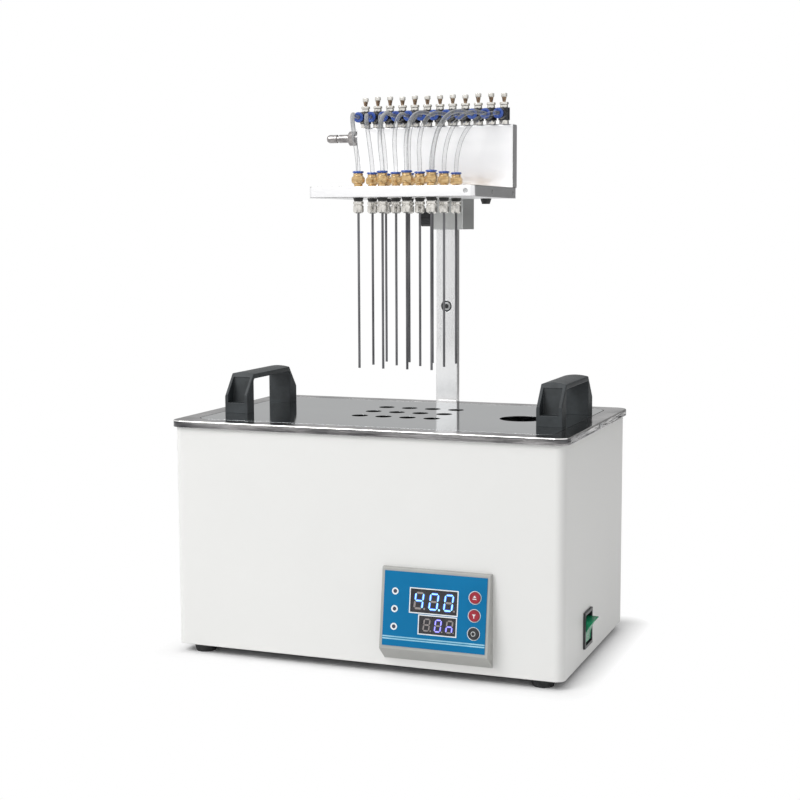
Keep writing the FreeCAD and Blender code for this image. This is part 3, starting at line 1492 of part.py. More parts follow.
for thing in nodes:
    thing.Shape.exportStep("parts/%s.step" % thing.Label)
print(len(nodes), "nodes written")
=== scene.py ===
import math

import bpy
from mathutils import Matrix, Vector


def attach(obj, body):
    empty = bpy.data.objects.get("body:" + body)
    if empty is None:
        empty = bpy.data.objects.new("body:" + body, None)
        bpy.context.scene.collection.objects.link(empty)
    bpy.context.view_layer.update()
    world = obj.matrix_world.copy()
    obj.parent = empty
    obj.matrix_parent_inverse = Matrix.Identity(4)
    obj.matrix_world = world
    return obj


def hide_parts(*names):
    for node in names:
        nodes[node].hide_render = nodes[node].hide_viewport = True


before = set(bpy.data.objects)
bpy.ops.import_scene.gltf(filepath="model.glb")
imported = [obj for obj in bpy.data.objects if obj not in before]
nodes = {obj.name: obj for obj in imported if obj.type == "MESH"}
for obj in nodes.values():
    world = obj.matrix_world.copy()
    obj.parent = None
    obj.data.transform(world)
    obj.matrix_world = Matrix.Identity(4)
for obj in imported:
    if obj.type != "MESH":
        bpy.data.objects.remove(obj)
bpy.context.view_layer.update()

# Casing: one folded sheet with welded rounded corners, sprayed with an off-white powder coat.
# The coat keeps a fine orange-peel texture and a few slightly duller patches.
MM = 0.001


def coat(name, tones, grain=30, gloss=(0.4, 0.5), relief=(900, 0.02), stretch=(1, 1, 1),
         worn=None, edge_band=(0.75, 0.98, 0.6), rolled_highlight=None, round_by=0.0004, **fixed):
    """A finish whose colour, gloss and relief vary over the piece. grain and relief[0] are the
    scales of the two noises, and relief[1] is a depth in mm. An edge colour may be laid where
    the rounded shading normal bends from the true one, and the edge band says where an edge
    counts and how much of that colour shows; it stands for rubbed wear on some pieces and for
    painted highlights and painted shade on others. A rolled edge, which leans between upright
    and level, may be given a painted highlight."""
    material = bpy.data.materials.new(name)
    material.use_nodes = True
    tree = material.node_tree
    shader = tree.nodes["Principled BSDF"]
    for socket, value in fixed.items():
        shader.inputs[socket.replace("_", " ")].default_value = value
    place = tree.nodes.new("ShaderNodeTexCoord")
    turn = tree.nodes.new("ShaderNodeMapping")
    turn.inputs["Scale"].default_value = stretch
    tree.links.new(place.outputs["Object"], turn.inputs["Vector"])

    def cloud(scale, detail):
        noise = tree.nodes.new("ShaderNodeTexNoise")
        noise.inputs["Scale"].default_value = scale
        noise.inputs["Detail"].default_value = detail
        tree.links.new(turn.outputs["Vector"], noise.inputs["Vector"])
        return noise.outputs["Fac"]

    def span(source, low, high, to_low, to_high):
        node = tree.nodes.new("ShaderNodeMapRange")
        node.inputs["From Min"].default_value = low
        node.inputs["From Max"].default_value = high
        node.inputs["To Min"].default_value = to_low
        node.inputs["To Max"].default_value = to_high
        tree.links.new(source, node.inputs["Value"])
        return node.outputs["Result"]

    def blend(factor, first, second):
        node = tree.nodes.new("ShaderNodeMix")
        node.data_type = "RGBA"
        tree.links.new(factor, node.inputs["Factor"])
        for socket, colour in ((node.inputs["A"], first), (node.inputs["B"], second)):
            if isinstance(colour, tuple):
                socket.default_value = (*colour, 1)
            else:
                tree.links.new(colour, socket)
        return node.outputs["Result"]

    colour = blend(span(cloud(grain, 5), 0.35, 0.65, 0, 1), *tones)
    rounding = tree.nodes.new("ShaderNodeBevel")
    rounding.samples = 6
    rounding.inputs["Radius"].default_value = round_by
    # Edge colour: rubbed wear on some pieces, and painted highlights and painted shade on others.
    if worn:
        shape = tree.nodes.new("ShaderNodeNewGeometry")
        facing = tree.nodes.new("ShaderNodeVectorMath")
        facing.operation = "DOT_PRODUCT"
        tree.links.new(rounding.outputs["Normal"], facing.inputs[0])
        tree.links.new(shape.outputs["Normal"], facing.inputs[1])
        edge_mask = span(facing.outputs["Value"], *edge_band, 0)
        colour = blend(edge_mask, colour, worn)
    # A painted highlight along rolled edges, which lean between upright and level.
    if rolled_highlight:
        shape = tree.nodes.new("ShaderNodeNewGeometry")
        split = tree.nodes.new("ShaderNodeSeparateXYZ")
        tree.links.new(shape.outputs["Normal"], split.inputs["Vector"])
        fold = tree.nodes.new("ShaderNodeMath")
        fold.operation = "PINGPONG"
        fold.inputs[1].default_value = 0.5
        tree.links.new(split.outputs["Z"], fold.inputs[0])
        colour = blend(span(fold.outputs["Value"], 0.04, 0.2, 0, 1), colour, rolled_highlight)
    tree.links.new(colour, shader.inputs["Base Color"])
    texture = cloud(relief[0], 3)
    tree.links.new(span(texture, 0.3, 0.7, *gloss), shader.inputs["Roughness"])
    bump = tree.nodes.new("ShaderNodeBump")
    bump.inputs["Strength"].default_value = 1
    bump.inputs["Distance"].default_value = relief[1] * MM
    tree.links.new(texture, bump.inputs["Height"])
    tree.links.new(rounding.outputs["Normal"], bump.inputs["Normal"])
    tree.links.new(bump.outputs["Normal"], shader.inputs["Normal"])
    return material


def dress(node, material):
    """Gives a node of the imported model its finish."""
    slots = nodes[node].data.materials
    slots.clear()
    slots.append(material)


powder_coat = coat("off-white powder coat", ((0.772, 0.772, 0.757), (0.78, 0.78, 0.765)), 9,
                   (0.42, 0.5), (700, 0.012), worn=(0.84, 0.84, 0.83), round_by=0.0008,
                   Coat_Weight=0.05, Coat_Roughness=0.3)
dress("casing_shell", powder_coat)

# Base plate and its screws: grey painted sheet that closes the casing from below, held by the
# four foot screws, whose plated heads sit up inside the feet.
base_paint = coat("grey base paint", ((0.22, 0.225, 0.23), (0.27, 0.275, 0.28)), 40,
                  (0.45, 0.6), (500, 0.02), worn=(0.4, 0.4, 0.4))
screw_plating = coat("zinc plated screw", ((0.45, 0.46, 0.47), (0.6, 0.6, 0.6)), 400,
                     (0.25, 0.4), (1800, 0.01), Metallic=1.0)
dress("base_plate", base_paint)
dress("foot_screws", screw_plating)
dress("post_screws", screw_plating)
dress("handle_screws", screw_plating)

# Feet: four tapered buffers moulded in black rubber, each held by a screw through its middle.
# Their skin has gone dull, and the edges are rubbed a little paler.
foot_rubber = coat("black foot rubber", ((0.012, 0.012, 0.013), (0.035, 0.035, 0.037)), 160,
                   (0.65, 0.85), (1500, 0.06), worn=(0.06, 0.06, 0.06))
dress("rubber_feet", foot_rubber)

# Rim: pressed stainless sheet with a rolled edge and a skirt, polished by hand, so that its
# skirt shows long uneven streaks and fine waves in its gloss and relief. Their dark and light
# bands in its colour are painted reflections, and the rolled edge carries a painted highlight.
# A pan-head screw holds it at each end.
rim_polish_painted_reflections = coat("hand polished rim with painted reflections", ((0.06, 0.06, 0.065), (0.42, 0.41, 0.41)), 70,
                  (0.08, 0.2), (130, 0.4), (0.3, 0.3, 3), rolled_highlight=(0.8, 0.79, 0.78),
                  Metallic=1.0)
dress("top_rim", rim_polish_painted_reflections)
dress("rim_screws", screw_plating)

# Tank, shelf, heater and probe: pressed and welded stainless parts inside the bath, with a
# blanket of glass wool between the tank and the casing.
tank_steel = coat("pressed tank steel", ((0.36, 0.36, 0.37), (0.5, 0.5, 0.5)), 60,
                  (0.25, 0.4), (1200, 0.02), (1, 1, 0.15), Metallic=1.0)
heater_steel = coat("heat tinted tube", ((0.22, 0.2, 0.18), (0.42, 0.4, 0.38)), 90,
                    (0.3, 0.45), (900, 0.02), Metallic=1.0)
glass_wool = coat("glass wool", ((0.62, 0.55, 0.38), (0.78, 0.72, 0.56)), 300,
                  (0.85, 0.95), (900, 0.9), Sheen_Weight=0.4)
dress("inner_tank", tank_steel)
dress("tank_shelf", tank_steel)
dress("heater_element", heater_steel)
dress("temperature_probe", tank_steel)
dress("tank_insulation", glass_wool)

# Lid: a flat stainless plate with twelve sample holes and a fill hole, polished almost to a
# mirror. Faint grinding lines run along it, too fine to show except at a low angle.
lid_polish = coat("mirror polished lid", ((0.43, 0.45, 0.46), (0.475, 0.495, 0.505)), 9,
                  (0.06, 0.11), (420, 0.0012), (0.12, 1, 1), round_by=0.0002, Metallic=1.0)
dress("lid_plate", lid_polish)

# Handles: bridge handles moulded in black glass-filled nylon, with deep pockets in their ends
# and a crowned grip. The moulding has a fine grain, and its edges are rubbed a little paler.
handle_nylon = coat("black handle nylon", ((0.016, 0.02, 0.022), (0.032, 0.038, 0.042)), 90,
                    (0.42, 0.58), (1300, 0.05), worn=(0.06, 0.066, 0.07), round_by=0.0007)
dress("handle_left", handle_nylon)
dress("handle_right", handle_nylon)

# Control box: a wedge moulded in grey plastic, screwed to the casing from inside, with the
# circuit boards behind it.
box_grey = coat("grey box moulding", ((0.38, 0.38, 0.365), (0.43, 0.43, 0.41)), 35,
                (0.42, 0.55), (1100, 0.03), worn=(0.72, 0.72, 0.7), round_by=0.0009)
board_green = coat("green circuit board", ((0.01, 0.09, 0.035), (0.02, 0.16, 0.06)), 220,
                   (0.3, 0.45), (900, 0.03), Coat_Weight=0.4)
dress("control_bezel", box_grey)
dress("control_board", board_green)
dress("power_board", board_green)

# Film on the sloping face: blue printed polyester with white rings round the lamps and keys,
# white frames round the displays and a pair of pale stripes below, all in thick ink.
film_blue = coat("blue printed film", ((0.004, 0.155, 0.345), (0.005, 0.17, 0.375)), 25,
                 (0.3, 0.4), (1600, 0.006), round_by=0.0002, Specular_IOR_Level=0.12)
film_white = coat("white film ink", ((0.74, 0.78, 0.8), (0.84, 0.87, 0.88)), 120,
                  (0.35, 0.45), (1500, 0.01), round_by=0.0001)
film_pale = coat("pale blue film ink", ((0.2, 0.48, 0.62), (0.34, 0.62, 0.74)), 60,
                 (0.3, 0.4), (1500, 0.01), round_by=0.0001)
dress("control_overlay", film_blue)
FACE_CORNER = (0.0217, -0.124, 0.0955)
SLOPE = math.radians(-7.836)
face_place = Matrix.Translation(FACE_CORNER) @ Matrix.Rotation(SLOPE, 4, "X")
MARGIN = 2.9
FILM_FRONT = -0.5
INK = 0.07


def add_object(name, points, faces, material, place=Matrix.Identity(4), smooth=0.0):
    """A new object at the origin whose mesh is already in place."""
    mesh = bpy.data.meshes.new(name)
    mesh.from_pydata([place @ Vector(p) for p in points], [], faces)
    mesh.materials.append(material)
    mesh.update()
    if smooth:
        mesh.shade_smooth()
        mesh.set_sharp_from_angle(angle=math.radians(smooth))
    thing = bpy.data.objects.new(name, mesh)
    bpy.context.scene.collection.objects.link(thing)
    return thing


def add_plates(name, outlines, front, thick, material, place):
    """Flat plates in the film's layout: each outline is a ring of (left, drop) points."""
    points = []
    faces = []
    for outline in outlines:
        start = len(points)
        count = len(outline)
        for depth in (front, front + thick):
            points += [((MARGIN + a) * MM, depth * MM, -(MARGIN + b) * MM) for a, b in outline]
        faces.append([start + i for i in range(count)])
        faces.append([start + count + i for i in reversed(range(count))])
        for i in range(count):
            j = (i + 1) % count
            faces.append([start + j, start + i, start + count + i, start + count + j])
    return add_object(name, points, faces, material, place)


def ring_outlines(left, drop, inner, outer, steps=40):
    """A ring cut into short plates, so that each one is a plain four-cornered outline."""
    pieces = []
    for i in range(steps):
        a, b = (2 * math.pi * k / steps for k in (i, i + 1))
        pieces.append([(left + r * math.cos(t), drop + r * math.sin(t))
                       for r, t in ((inner, b), (outer, b), (outer, a), (inner, a))])
    return pieces


def bar_outline(left, drop, width, height):
    """An upright rectangle on the film."""
    return [(left, drop + height), (left + width, drop + height), (left + width, drop),
            (left, drop)]


def frame_outlines(left, drop, width, height, line):
    """Four bars round a window."""
    return [bar_outline(left - line, drop - line, width + 2 * line, line),
            bar_outline(left - line, drop + height, width + 2 * line, line),
            bar_outline(left - line, drop, line, height),
            bar_outline(left + width, drop, line, height)]


# Places on the film, in millimetres from its upper left corner; a window is its left side,
# its top, its width and its height
ROWS_DOWN = (17.1, 32.2, 47.3)
LAMPS_LEFT = 10.2
KEYS_LEFT = 81.8
DISPLAYS = {"upper_display": (24.3, 13.6, 42, 20), "lower_display": (32.9, 36, 33, 15.2)}
LAMP_RING = (1.75, 3.0)
KEY_RING = (5.1, 5.65)
WINDOW_LINE = 0.9
STRIPE_LEFT = 0.2
STRIPES_DOWN = (55.4, 57.3)
STRIPE_SIZE = (91.8, 1.1)
white_ink = []
for drop in ROWS_DOWN:
    white_ink += ring_outlines(LAMPS_LEFT, drop, *LAMP_RING)
    white_ink += ring_outlines(KEYS_LEFT, drop, *KEY_RING)
for window in DISPLAYS.values():
    white_ink += frame_outlines(*window, WINDOW_LINE)
ink_rings = add_plates("film_white_ink", white_ink, FILM_FRONT - INK, INK, film_white, face_place)
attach(ink_rings, "root")
stripes = add_plates("film_stripes",
                     [bar_outline(STRIPE_LEFT, drop, *STRIPE_SIZE) for drop in STRIPES_DOWN],
                     FILM_FRONT - INK, INK, film_pale, face_place)
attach(stripes, "root")

# Displays: smoked windows over moulded digit blocks. Each digit has seven bars, of which the
# lit ones glow, with a bright middle and a deeper blue edge. Three dark lamps stand beside.
smoked = coat("smoked display window", ((0.012, 0.012, 0.016), (0.028, 0.026, 0.03)), 200,
              (0.25, 0.35), (900, 0.01), round_by=0.0001)
unlit = coat("unlit digit bar", ((0.24, 0.215, 0.215), (0.32, 0.29, 0.28)), 500,
             (0.4, 0.5), (1500, 0.01), round_by=0.0001)
lamp_lens = coat("dark lamp lens", ((0.02, 0.02, 0.05), (0.05, 0.05, 0.09)), 500,
                 (0.1, 0.2), (900, 0.01), Coat_Weight=0.8)


def glow(name, colour, strength):
    """A moulded digit bar lit from behind."""
    return coat(name, (tuple(c * 0.5 for c in colour), colour), 300, (0.3, 0.4), (900, 0.01),
                round_by=0.0001, Emission_Color=(*colour, 1), Emission_Strength=strength)


glows = {"upper_display": (glow("blue digit edge", (0.05, 0.14, 0.9), 0.8),
                           glow("blue digit core", (0.35, 0.75, 1.0), 0.95)),
         "lower_display": (glow("violet digit edge", (0.1, 0.07, 0.85), 0.8),
                           glow("violet digit core", (0.42, 0.42, 1.0), 0.9))}
dress("indicator_leds", lamp_lens)
for display in DISPLAYS:
    dress(display, smoked)
# The seven bars of a digit: both ends of each, in a digit one cell wide and two cells high
BARS = {"a": ((0, 0), (1, 0)), "b": ((1, 0), (1, 1)), "c": ((1, 1), (1, 2)),
        "d": ((0, 2), (1, 2)), "e": ((0, 1), (0, 2)), "f": ((0, 0), (0, 1)),
        "g": ((0, 1), (1, 1))}
BAR_GAP = 0.06
DIGIT_LEAN = 0.1


def digit_bar(left, drop, cell, key, thick):
    """One mitred bar of a digit that leans to the right."""
    (ax, ay), (bx, by) = BARS[key]
    wide, high = cell
    start = Vector((ax * wide, ay * high))
    end = Vector((bx * wide, by * high))
    along = (end - start).normalized()
    side = Vector((-along.y, along.x)) * thick / 2
    start += along * high * BAR_GAP
    end -= along * high * BAR_GAP
    inset = along * thick / 2
    ring = [start, start + inset - side, end - inset - side, end, end - inset + side,
            start + inset + side]
    return [(left + p.x + (2 * high - p.y) * DIGIT_LEAN, drop + p.y) for p in reversed(ring)]


# Each display: its first digit's left side, top, step, cell width and height, bar width and
# lit bars
DIGITS = {"upper_display": (3.6, 3.4, 13.3, (6.9, 6.6), 2.1, ("bcfg", "abcdef", "abcdef")),
          "lower_display": (3.8, 2.7, 10.2, (5.0, 4.9), 1.5, ("", "abcdef", "ceg"))}
GLASS_FRONT = -0.25
CORE_SHARE = 0.5
UNLIT_SHARE = 0.8
POINT_SHARE = 0.42
POINT_LEFT = 1.32
POINT_HOLE = 0.05
BAR_LIFT = 0.05
CORE_LIFT = 0.09
for display, (first, top, step, cell, thick, lit) in DIGITS.items():
    left, drop = DISPLAYS[display][:2]
    groups = {"unlit": [], "edge": [], "core": []}
    for place, bars in enumerate(lit):
        x = left + first + step * place
        for key in BARS:
            if key in bars:
                groups["edge"].append(digit_bar(x, drop + top, cell, key, thick))
                groups["core"].append(digit_bar(x, drop + top, cell, key, thick * CORE_SHARE))
            else:
                groups["unlit"].append(digit_bar(x, drop + top, cell, key, thick * UNLIT_SHARE))
        point = ring_outlines(x + cell[0] * POINT_LEFT, drop + top + 2 * cell[1], POINT_HOLE,
                              thick * POINT_SHARE, 12)
        groups["core" if display == "upper_display" and place == 1 else "unlit"] += point
    edge, core = glows[display]
    for part, finish, lift in (("unlit", unlit, BAR_LIFT), ("edge", edge, BAR_LIFT),
                               ("core", core, CORE_LIFT)):
        bars = add_plates("%s_%s_bars" % (display, part), groups[part], GLASS_FRONT - lift, lift,
                          finish, face_place)
        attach(bars, "root")

# Keys: short-travel caps moulded through in red or black, each with a small printed mark, an
# arrow up, an arrow down and a plain ring.
key_red = coat("red key cap", ((0.27, 0.008, 0.02), (0.35, 0.012, 0.032)), 200,
               (0.3, 0.42), (1500, 0.02), worn=(0.55, 0.1, 0.12), round_by=0.0003)
key_black = coat("black key cap", ((0.012, 0.013, 0.016), (0.025, 0.026, 0.03)), 200,
                 (0.3, 0.42), (1500, 0.02), worn=(0.1, 0.1, 0.11), round_by=0.0003)
KEY_FRONT = -1.7
MARK_PROUD = 0.04
MARK_THICK = 0.06
# Outlines of the marks about the middle of a key
marks = {
    "up_key": ([[(-1.5, -0.1), (1.5, -0.1), (0, -2.0)], bar_outline(-1.7, 0.7, 3.4, 0.8)],
               key_red),
    "down_key": ([[(-1.7, -1.3), (0, 0.8), (1.7, -1.3)], bar_outline(-0.4, 0.3, 0.8, 1.8)],
                 key_red),
    "set_key": (ring_outlines(0, 0, 1.6, 2.0), key_black),
}
for drop, (key, (outlines, finish)) in zip(ROWS_DOWN, marks.items()):
    dress(key, finish)
    mark = add_plates(key + "_mark",
                      [[(KEYS_LEFT + a, drop + b) for a, b in outline] for outline in outlines],
                      KEY_FRONT - MARK_PROUD, MARK_THICK, film_white, face_place)
    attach(mark, key + "_body")

# Mains switch: a black nylon frame that snaps into the right side, with a rocker moulded in
# clear green plastic. The mains gland low on the rear is moulded in the same black nylon.
switch_nylon = coat("black switch nylon", ((0.012, 0.013, 0.015), (0.028, 0.03, 0.033)), 150,
                    (0.3, 0.45), (1500, 0.02), worn=(0.05, 0.05, 0.055), round_by=0.0004)
rocker_green = coat("clear green plastic", ((0.006, 0.22, 0.1), (0.015, 0.38, 0.17)), 60,
                    (0.18, 0.28), (900, 0.006), worn=(0.03, 0.42, 0.22), round_by=0.0004,
                    Specular_IOR_Level=0.25)
dress("switch_frame", switch_nylon)
ROCKER_AXIS = (0.18, -0.04, 0.035)
ROCKER_HALF_WIDE = 10.5
ROCKER_HALF_HIGH = 10.8
ROCKER_FACE = 6.1
ROCKER_DIP = 2.6
ROCKER_LIP = 0.3
ROCKER_TILT = math.radians(20)
DIP_STEPS = 9
# The outline seen from the side: how far in front of the axis, and how high. The eased edge is
# given as how far behind the face and how far short of the tip.
EASED_EDGE = ((1.1, 0), (0.5, 0.15), (0.35, 0.6))
outline = [(ROCKER_FACE - back, -ROCKER_HALF_HIGH + short) for back, short in EASED_EDGE]
outline += [(ROCKER_FACE - ROCKER_LIP
             - (ROCKER_DIP - ROCKER_LIP) * (1 - (k / DIP_STEPS) ** 2),
             (ROCKER_HALF_HIGH - 1) * k / DIP_STEPS) for k in range(1 - DIP_STEPS, DIP_STEPS)]
outline += [(ROCKER_FACE - back, ROCKER_HALF_HIGH - short)
            for back, short in reversed(EASED_EDGE)]
outline += [(-4, ROCKER_HALF_HIGH * 0.72), (-5, 0), (-4, -ROCKER_HALF_HIGH * 0.72)]
around = len(outline)
lean_out = Matrix.Translation(ROCKER_AXIS) @ Matrix.Rotation(ROCKER_TILT, 4, "Y")
rocker = add_object(
    "switch_rocker_dished",
    [(x * MM, y * MM, z * MM) for y in (-ROCKER_HALF_WIDE, ROCKER_HALF_WIDE) for x, z in outline],
    [list(range(around)), list(reversed(range(around, 2 * around)))]
    + [[(i + 1) % around, i, around + i, around + (i + 1) % around] for i in range(around)],
    rocker_green, lean_out, 30)
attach(rocker, "switch_rocker_body")
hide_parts("switch_rocker")
dress("mains_gland", switch_nylon)

# Post and bracket: a flat bar of bright drawn aluminium on a short bracket behind the bath.
# Fine drawing lines run up the bar.
satin = coat("bright drawn aluminium", ((0.93, 0.93, 0.935), (0.97, 0.97, 0.97)), 40,
             (0.18, 0.26), (1500, 0.003), (1, 1, 0.05), worn=(0.6, 0.6, 0.61),
             round_by=0.0006, Metallic=1.0)
dress("slide_post", satin)
dress("post_bracket", satin)

# Cap screw in the front of the post: a dark ring where the recess falls into shadow, a bright
# flat rim on the head, and a thin dark hexagon of painted shade over the deep hexagon socket.
def turned(profile, flats=0.0, steps=48):
    """Points and faces of a part turned about Z. The profile is (radius, height, hexed) from
    one end to the other, or round to its start again; a hexed ring is held within a hexagon of
    that half width across its flats."""
    points = []
    rings = []
    for radius, height, hexed in profile:
        if rings and (radius, height, hexed) == profile[0]:
            rings.append(rings[0])
            continue
        if radius == 0:
            points.append((0, 0, height * MM))
            rings.append([len(points) - 1])
            continue
        ring = []
        for i in range(steps):
            angle = 2 * math.pi * i / steps
            reach = radius
            if hexed:
                within = (angle + math.pi / 6) % (math.pi / 3) - math.pi / 6
                reach = min(radius, flats / math.cos(within))
            ring.append(len(points))
            points.append((reach * math.cos(angle) * MM, reach * math.sin(angle) * MM,
                           height * MM))
        rings.append(ring)
    faces = []
    for low, high in zip(rings, rings[1:]):
        for i in range(steps):
            j = (i + 1) % steps
            if len(low) == 1:
                faces.append([low[0], high[j], high[i]])
            elif len(high) == 1:
                faces.append([low[i], low[j], high[0]])
            else:
                faces.append([low[i], low[j], high[j], high[i]])
    return points, faces


def disc(radius, low, high, hexed=False):
    """The profile of a plain disc or bar."""
    return [(0, low, False), (radius, low, hexed), (radius, high, hexed), (0, high, False)]


# The profiles' heights are millimetres in front of the screw's face
SCREW_FACE = (0, 0.1066, 0.3067)
SINK_RADIUS = 5.3
HEAD_RADIUS = 4.0
SOCKET_RADIUS = 2.4
SOCKET_FLATS = 2.1
facing_forward = Matrix.Rotation(math.pi / 2, 4, "X")
screw_place = Matrix.Translation(SCREW_FACE) @ facing_forward
for name, profile, flats, finish in (
        ("cap_screw_shadow", disc(SINK_RADIUS, 0.01, 0.06), 0, switch_nylon),
        ("cap_screw_rim", [(0, 0.05, False), (HEAD_RADIUS, 0.05, False),
                           (HEAD_RADIUS, 0.14, False), (HEAD_RADIUS - 0.4, 0.2, False),
                           (0, 0.2, False)], 0, screw_plating),
        ("cap_screw_socket", disc(SOCKET_RADIUS, 0.18, 0.23, True), SOCKET_FLATS,
         switch_nylon)):
    detail = add_object(name, *turned(profile, flats), finish, screw_place, 30)
    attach(detail, "root")

# Carriage and clamp knob: a milled block, grey anodised, that slides on the post, and a black
# fluted knob whose screw bears on the post's side.
grey_anodised = coat("grey anodised block", ((0.6, 0.61, 0.6), (0.68, 0.69, 0.68)), 60,
                     (0.35, 0.48), (1300, 0.015), (1, 0.2, 1), worn=(0.75, 0.76, 0.76),
                     round_by=0.0005, Metallic=1.0)
dress("slider_block", grey_anodised)
dress("clamp_knob", switch_nylon)

# Needle plate and manifold: milled aluminium bars with satin faces and broken edges painted
# nearly black as painted shade, the manifold stood on the plate's rear edge and held by two
# black screws from below.
milled_painted_edge_shade = coat("satin milled aluminium", ((0.86, 0.86, 0.87), (0.93, 0.93, 0.935)), 30,
              (0.28, 0.4), (1400, 0.008), (0.08, 1, 1), worn=(0.03, 0.03, 0.03),
              edge_band=(0.86, 0.995, 0.95), round_by=0.0013, Metallic=1.0)
blackened = coat("blackened screw", ((0.012, 0.012, 0.013), (0.03, 0.03, 0.03)), 300,
                 (0.35, 0.5), (1500, 0.02), worn=(0.12, 0.12, 0.12))
dress("needle_plate", milled_painted_edge_shade)
dress("manifold_panel", milled_painted_edge_shade)
dress("manifold_screws", blackened)
dress("plate_plugs", screw_plating)


# Nickel valve parts: turned and milled brass nuts, plated with bright nickel, one nut under
# each valve and one with a flange above it. Their corners are turned back in the lathe.
def like_parts():
    """A tree that sets one part on every point of a mesh and gives it one finish."""
    tree = bpy.data.node_groups.new("like parts on points", "GeometryNodeTree")
    for name, kind in (("Points", "Geometry"), ("Part", "Object"), ("Turn", "Float"),
                       ("Finish", "Material")):
        tree.interface.new_socket(name, in_out="INPUT", socket_type="NodeSocket" + kind)
    tree.interface.new_socket("Parts", in_out="OUTPUT", socket_type="NodeSocketGeometry")
    given = tree.nodes.new("NodeGroupInput")
    part = tree.nodes.new("GeometryNodeObjectInfo")
    turn = tree.nodes.new("ShaderNodeCombineXYZ")
    put = tree.nodes.new("GeometryNodeInstanceOnPoints")
    real = tree.nodes.new("GeometryNodeRealizeInstances")
    finish = tree.nodes.new("GeometryNodeSetMaterial")
    result = tree.nodes.new("NodeGroupOutput")
    for source, target in (
            (given.outputs["Points"], put.inputs["Points"]),
            (given.outputs["Part"], part.inputs["Object"]),
            (part.outputs["Geometry"], put.inputs["Instance"]),
            (given.outputs["Turn"], turn.inputs["Z"]),
            (turn.outputs["Vector"], put.inputs["Rotation"]),
            (put.outputs["Instances"], real.inputs["Geometry"]),
            (real.outputs["Geometry"], finish.inputs["Geometry"]),
            (given.outputs["Finish"], finish.inputs["Material"]),
            (finish.outputs["Geometry"], result.inputs["Parts"])):
        tree.links.new(source, target)
    return tree


repeat_tree = like_parts()


def repeat(name, shape, places, material, turn=0.0, lay=Matrix.Identity(4), smooth=30):
    """One mesh of like parts, one at each place in millimetres."""
    part = add_object(name + "_one", *shape, material, lay, smooth)
    host = add_object(name, [Vector(p) * MM for p in places], [], material)
    modifier = host.modifiers.new("like parts", "NODES")
    modifier.node_group = repeat_tree
    sockets = {s.name: s.identifier for s in repeat_tree.interface.items_tree
               if s.in_out == "INPUT"}
    modifier[sockets["Part"]] = part
    modifier[sockets["Turn"]] = turn
    modifier[sockets["Finish"]] = material
    bpy.context.view_layer.update()
    graph = bpy.context.evaluated_depsgraph_get()
    mesh = bpy.data.meshes.new_from_object(host.evaluated_get(graph))
    host.modifiers.clear()
    host.data = mesh
    mesh.set_sharp_from_angle(angle=math.radians(smooth))
    bpy.data.objects.remove(part)
    return host


nickel = coat("bright nickel plate", ((0.62, 0.6, 0.56), (0.8, 0.78, 0.74)), 250,
              (0.1, 0.22), (1600, 0.01), worn=(0.85, 0.8, 0.7), round_by=0.0002, Metallic=1.0)
VALVE_PITCH = 12.75
VALVES_X = [-1.9 + VALVE_PITCH * (n - 5.5) for n in range(12)]
VALVE_DEEP = 75.0
LOWER_NUT_LEVEL = 480
UPPER_NUT_LEVEL = 495.5
lower_nut = turned([(0, 0, False), (4.1, 0, True), (4.6, 0.5, True), (4.6, 3.5, True),
                    (4.1, 4, True), (0, 4, False)], 3.98)
upper_nut = turned([(0, 0, False), (3.3, 0, True), (3.7, 0.4, True), (3.7, 2.2, True),
                    (3.3, 2.6, True), (3.6, 2.6, False), (4.2, 3.0, False), (4.2, 4.8, False),
                    (3.9, 5.2, False), (0, 5.2, False)], 3.2)
for name, shape, level in (("valve_lower_nuts", lower_nut, LOWER_NUT_LEVEL),
                           ("valve_upper_nuts", upper_nut, UPPER_NUT_LEVEL)):
    part = repeat(name, shape, [(x, VALVE_DEEP, level) for x in VALVES_X], nickel)
    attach(part, "head")
    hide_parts("valve_nuts")

# Valve bodies, release collars and stems: glossy black moulded towers, each with a blue collar
# facing forwards that frees the tube when pressed, and a brass needle stem that flares upwards.
valve_black = coat("glossy black moulding", ((0.008, 0.009, 0.014), (0.02, 0.022, 0.03)), 200,
                   (0.18, 0.3), (1500, 0.015), worn=(0.07, 0.07, 0.08), round_by=0.0005)
collar_blue = coat("blue collar plastic", ((0.012, 0.05, 0.3), (0.03, 0.1, 0.42)), 300,
                   (0.22, 0.34), (1500, 0.015), worn=(0.12, 0.22, 0.6), round_by=0.0003,
                   Coat_Weight=0.3)
stem_brass = coat("tarnished stem brass", ((0.2, 0.13, 0.09), (0.42, 0.3, 0.2)), 260,
                  (0.2, 0.32), (1500, 0.012), worn=(0.5, 0.38, 0.26), round_by=0.0002,
                  Metallic=1.0)
dress("valve_bodies", valve_black)
dress("valve_stems", stem_brass)
COLLAR_BACK = 60
COLLAR_FACE = 55.2
COLLAR_LEVEL = 489.4
collar_profile = turned([(2.05, 0, False), (3.5, 0, False), (3.5, 2.3, False), (4.4, 2.5, False),
                         (4.95, 3.1, False), (4.95, 4.2, False), (4.4, 4.75, False),
                         (3.2, 4.8, False), (2.7, 4.3, False), (2.1, 4.2, False),
                         (2.05, 0, False)])
collars = repeat("valve_collars", collar_profile,
                 [(x, COLLAR_BACK, COLLAR_LEVEL) for x in VALVES_X], collar_blue,
                 lay=facing_forward)
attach(collars, "head")
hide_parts("valve_collets")

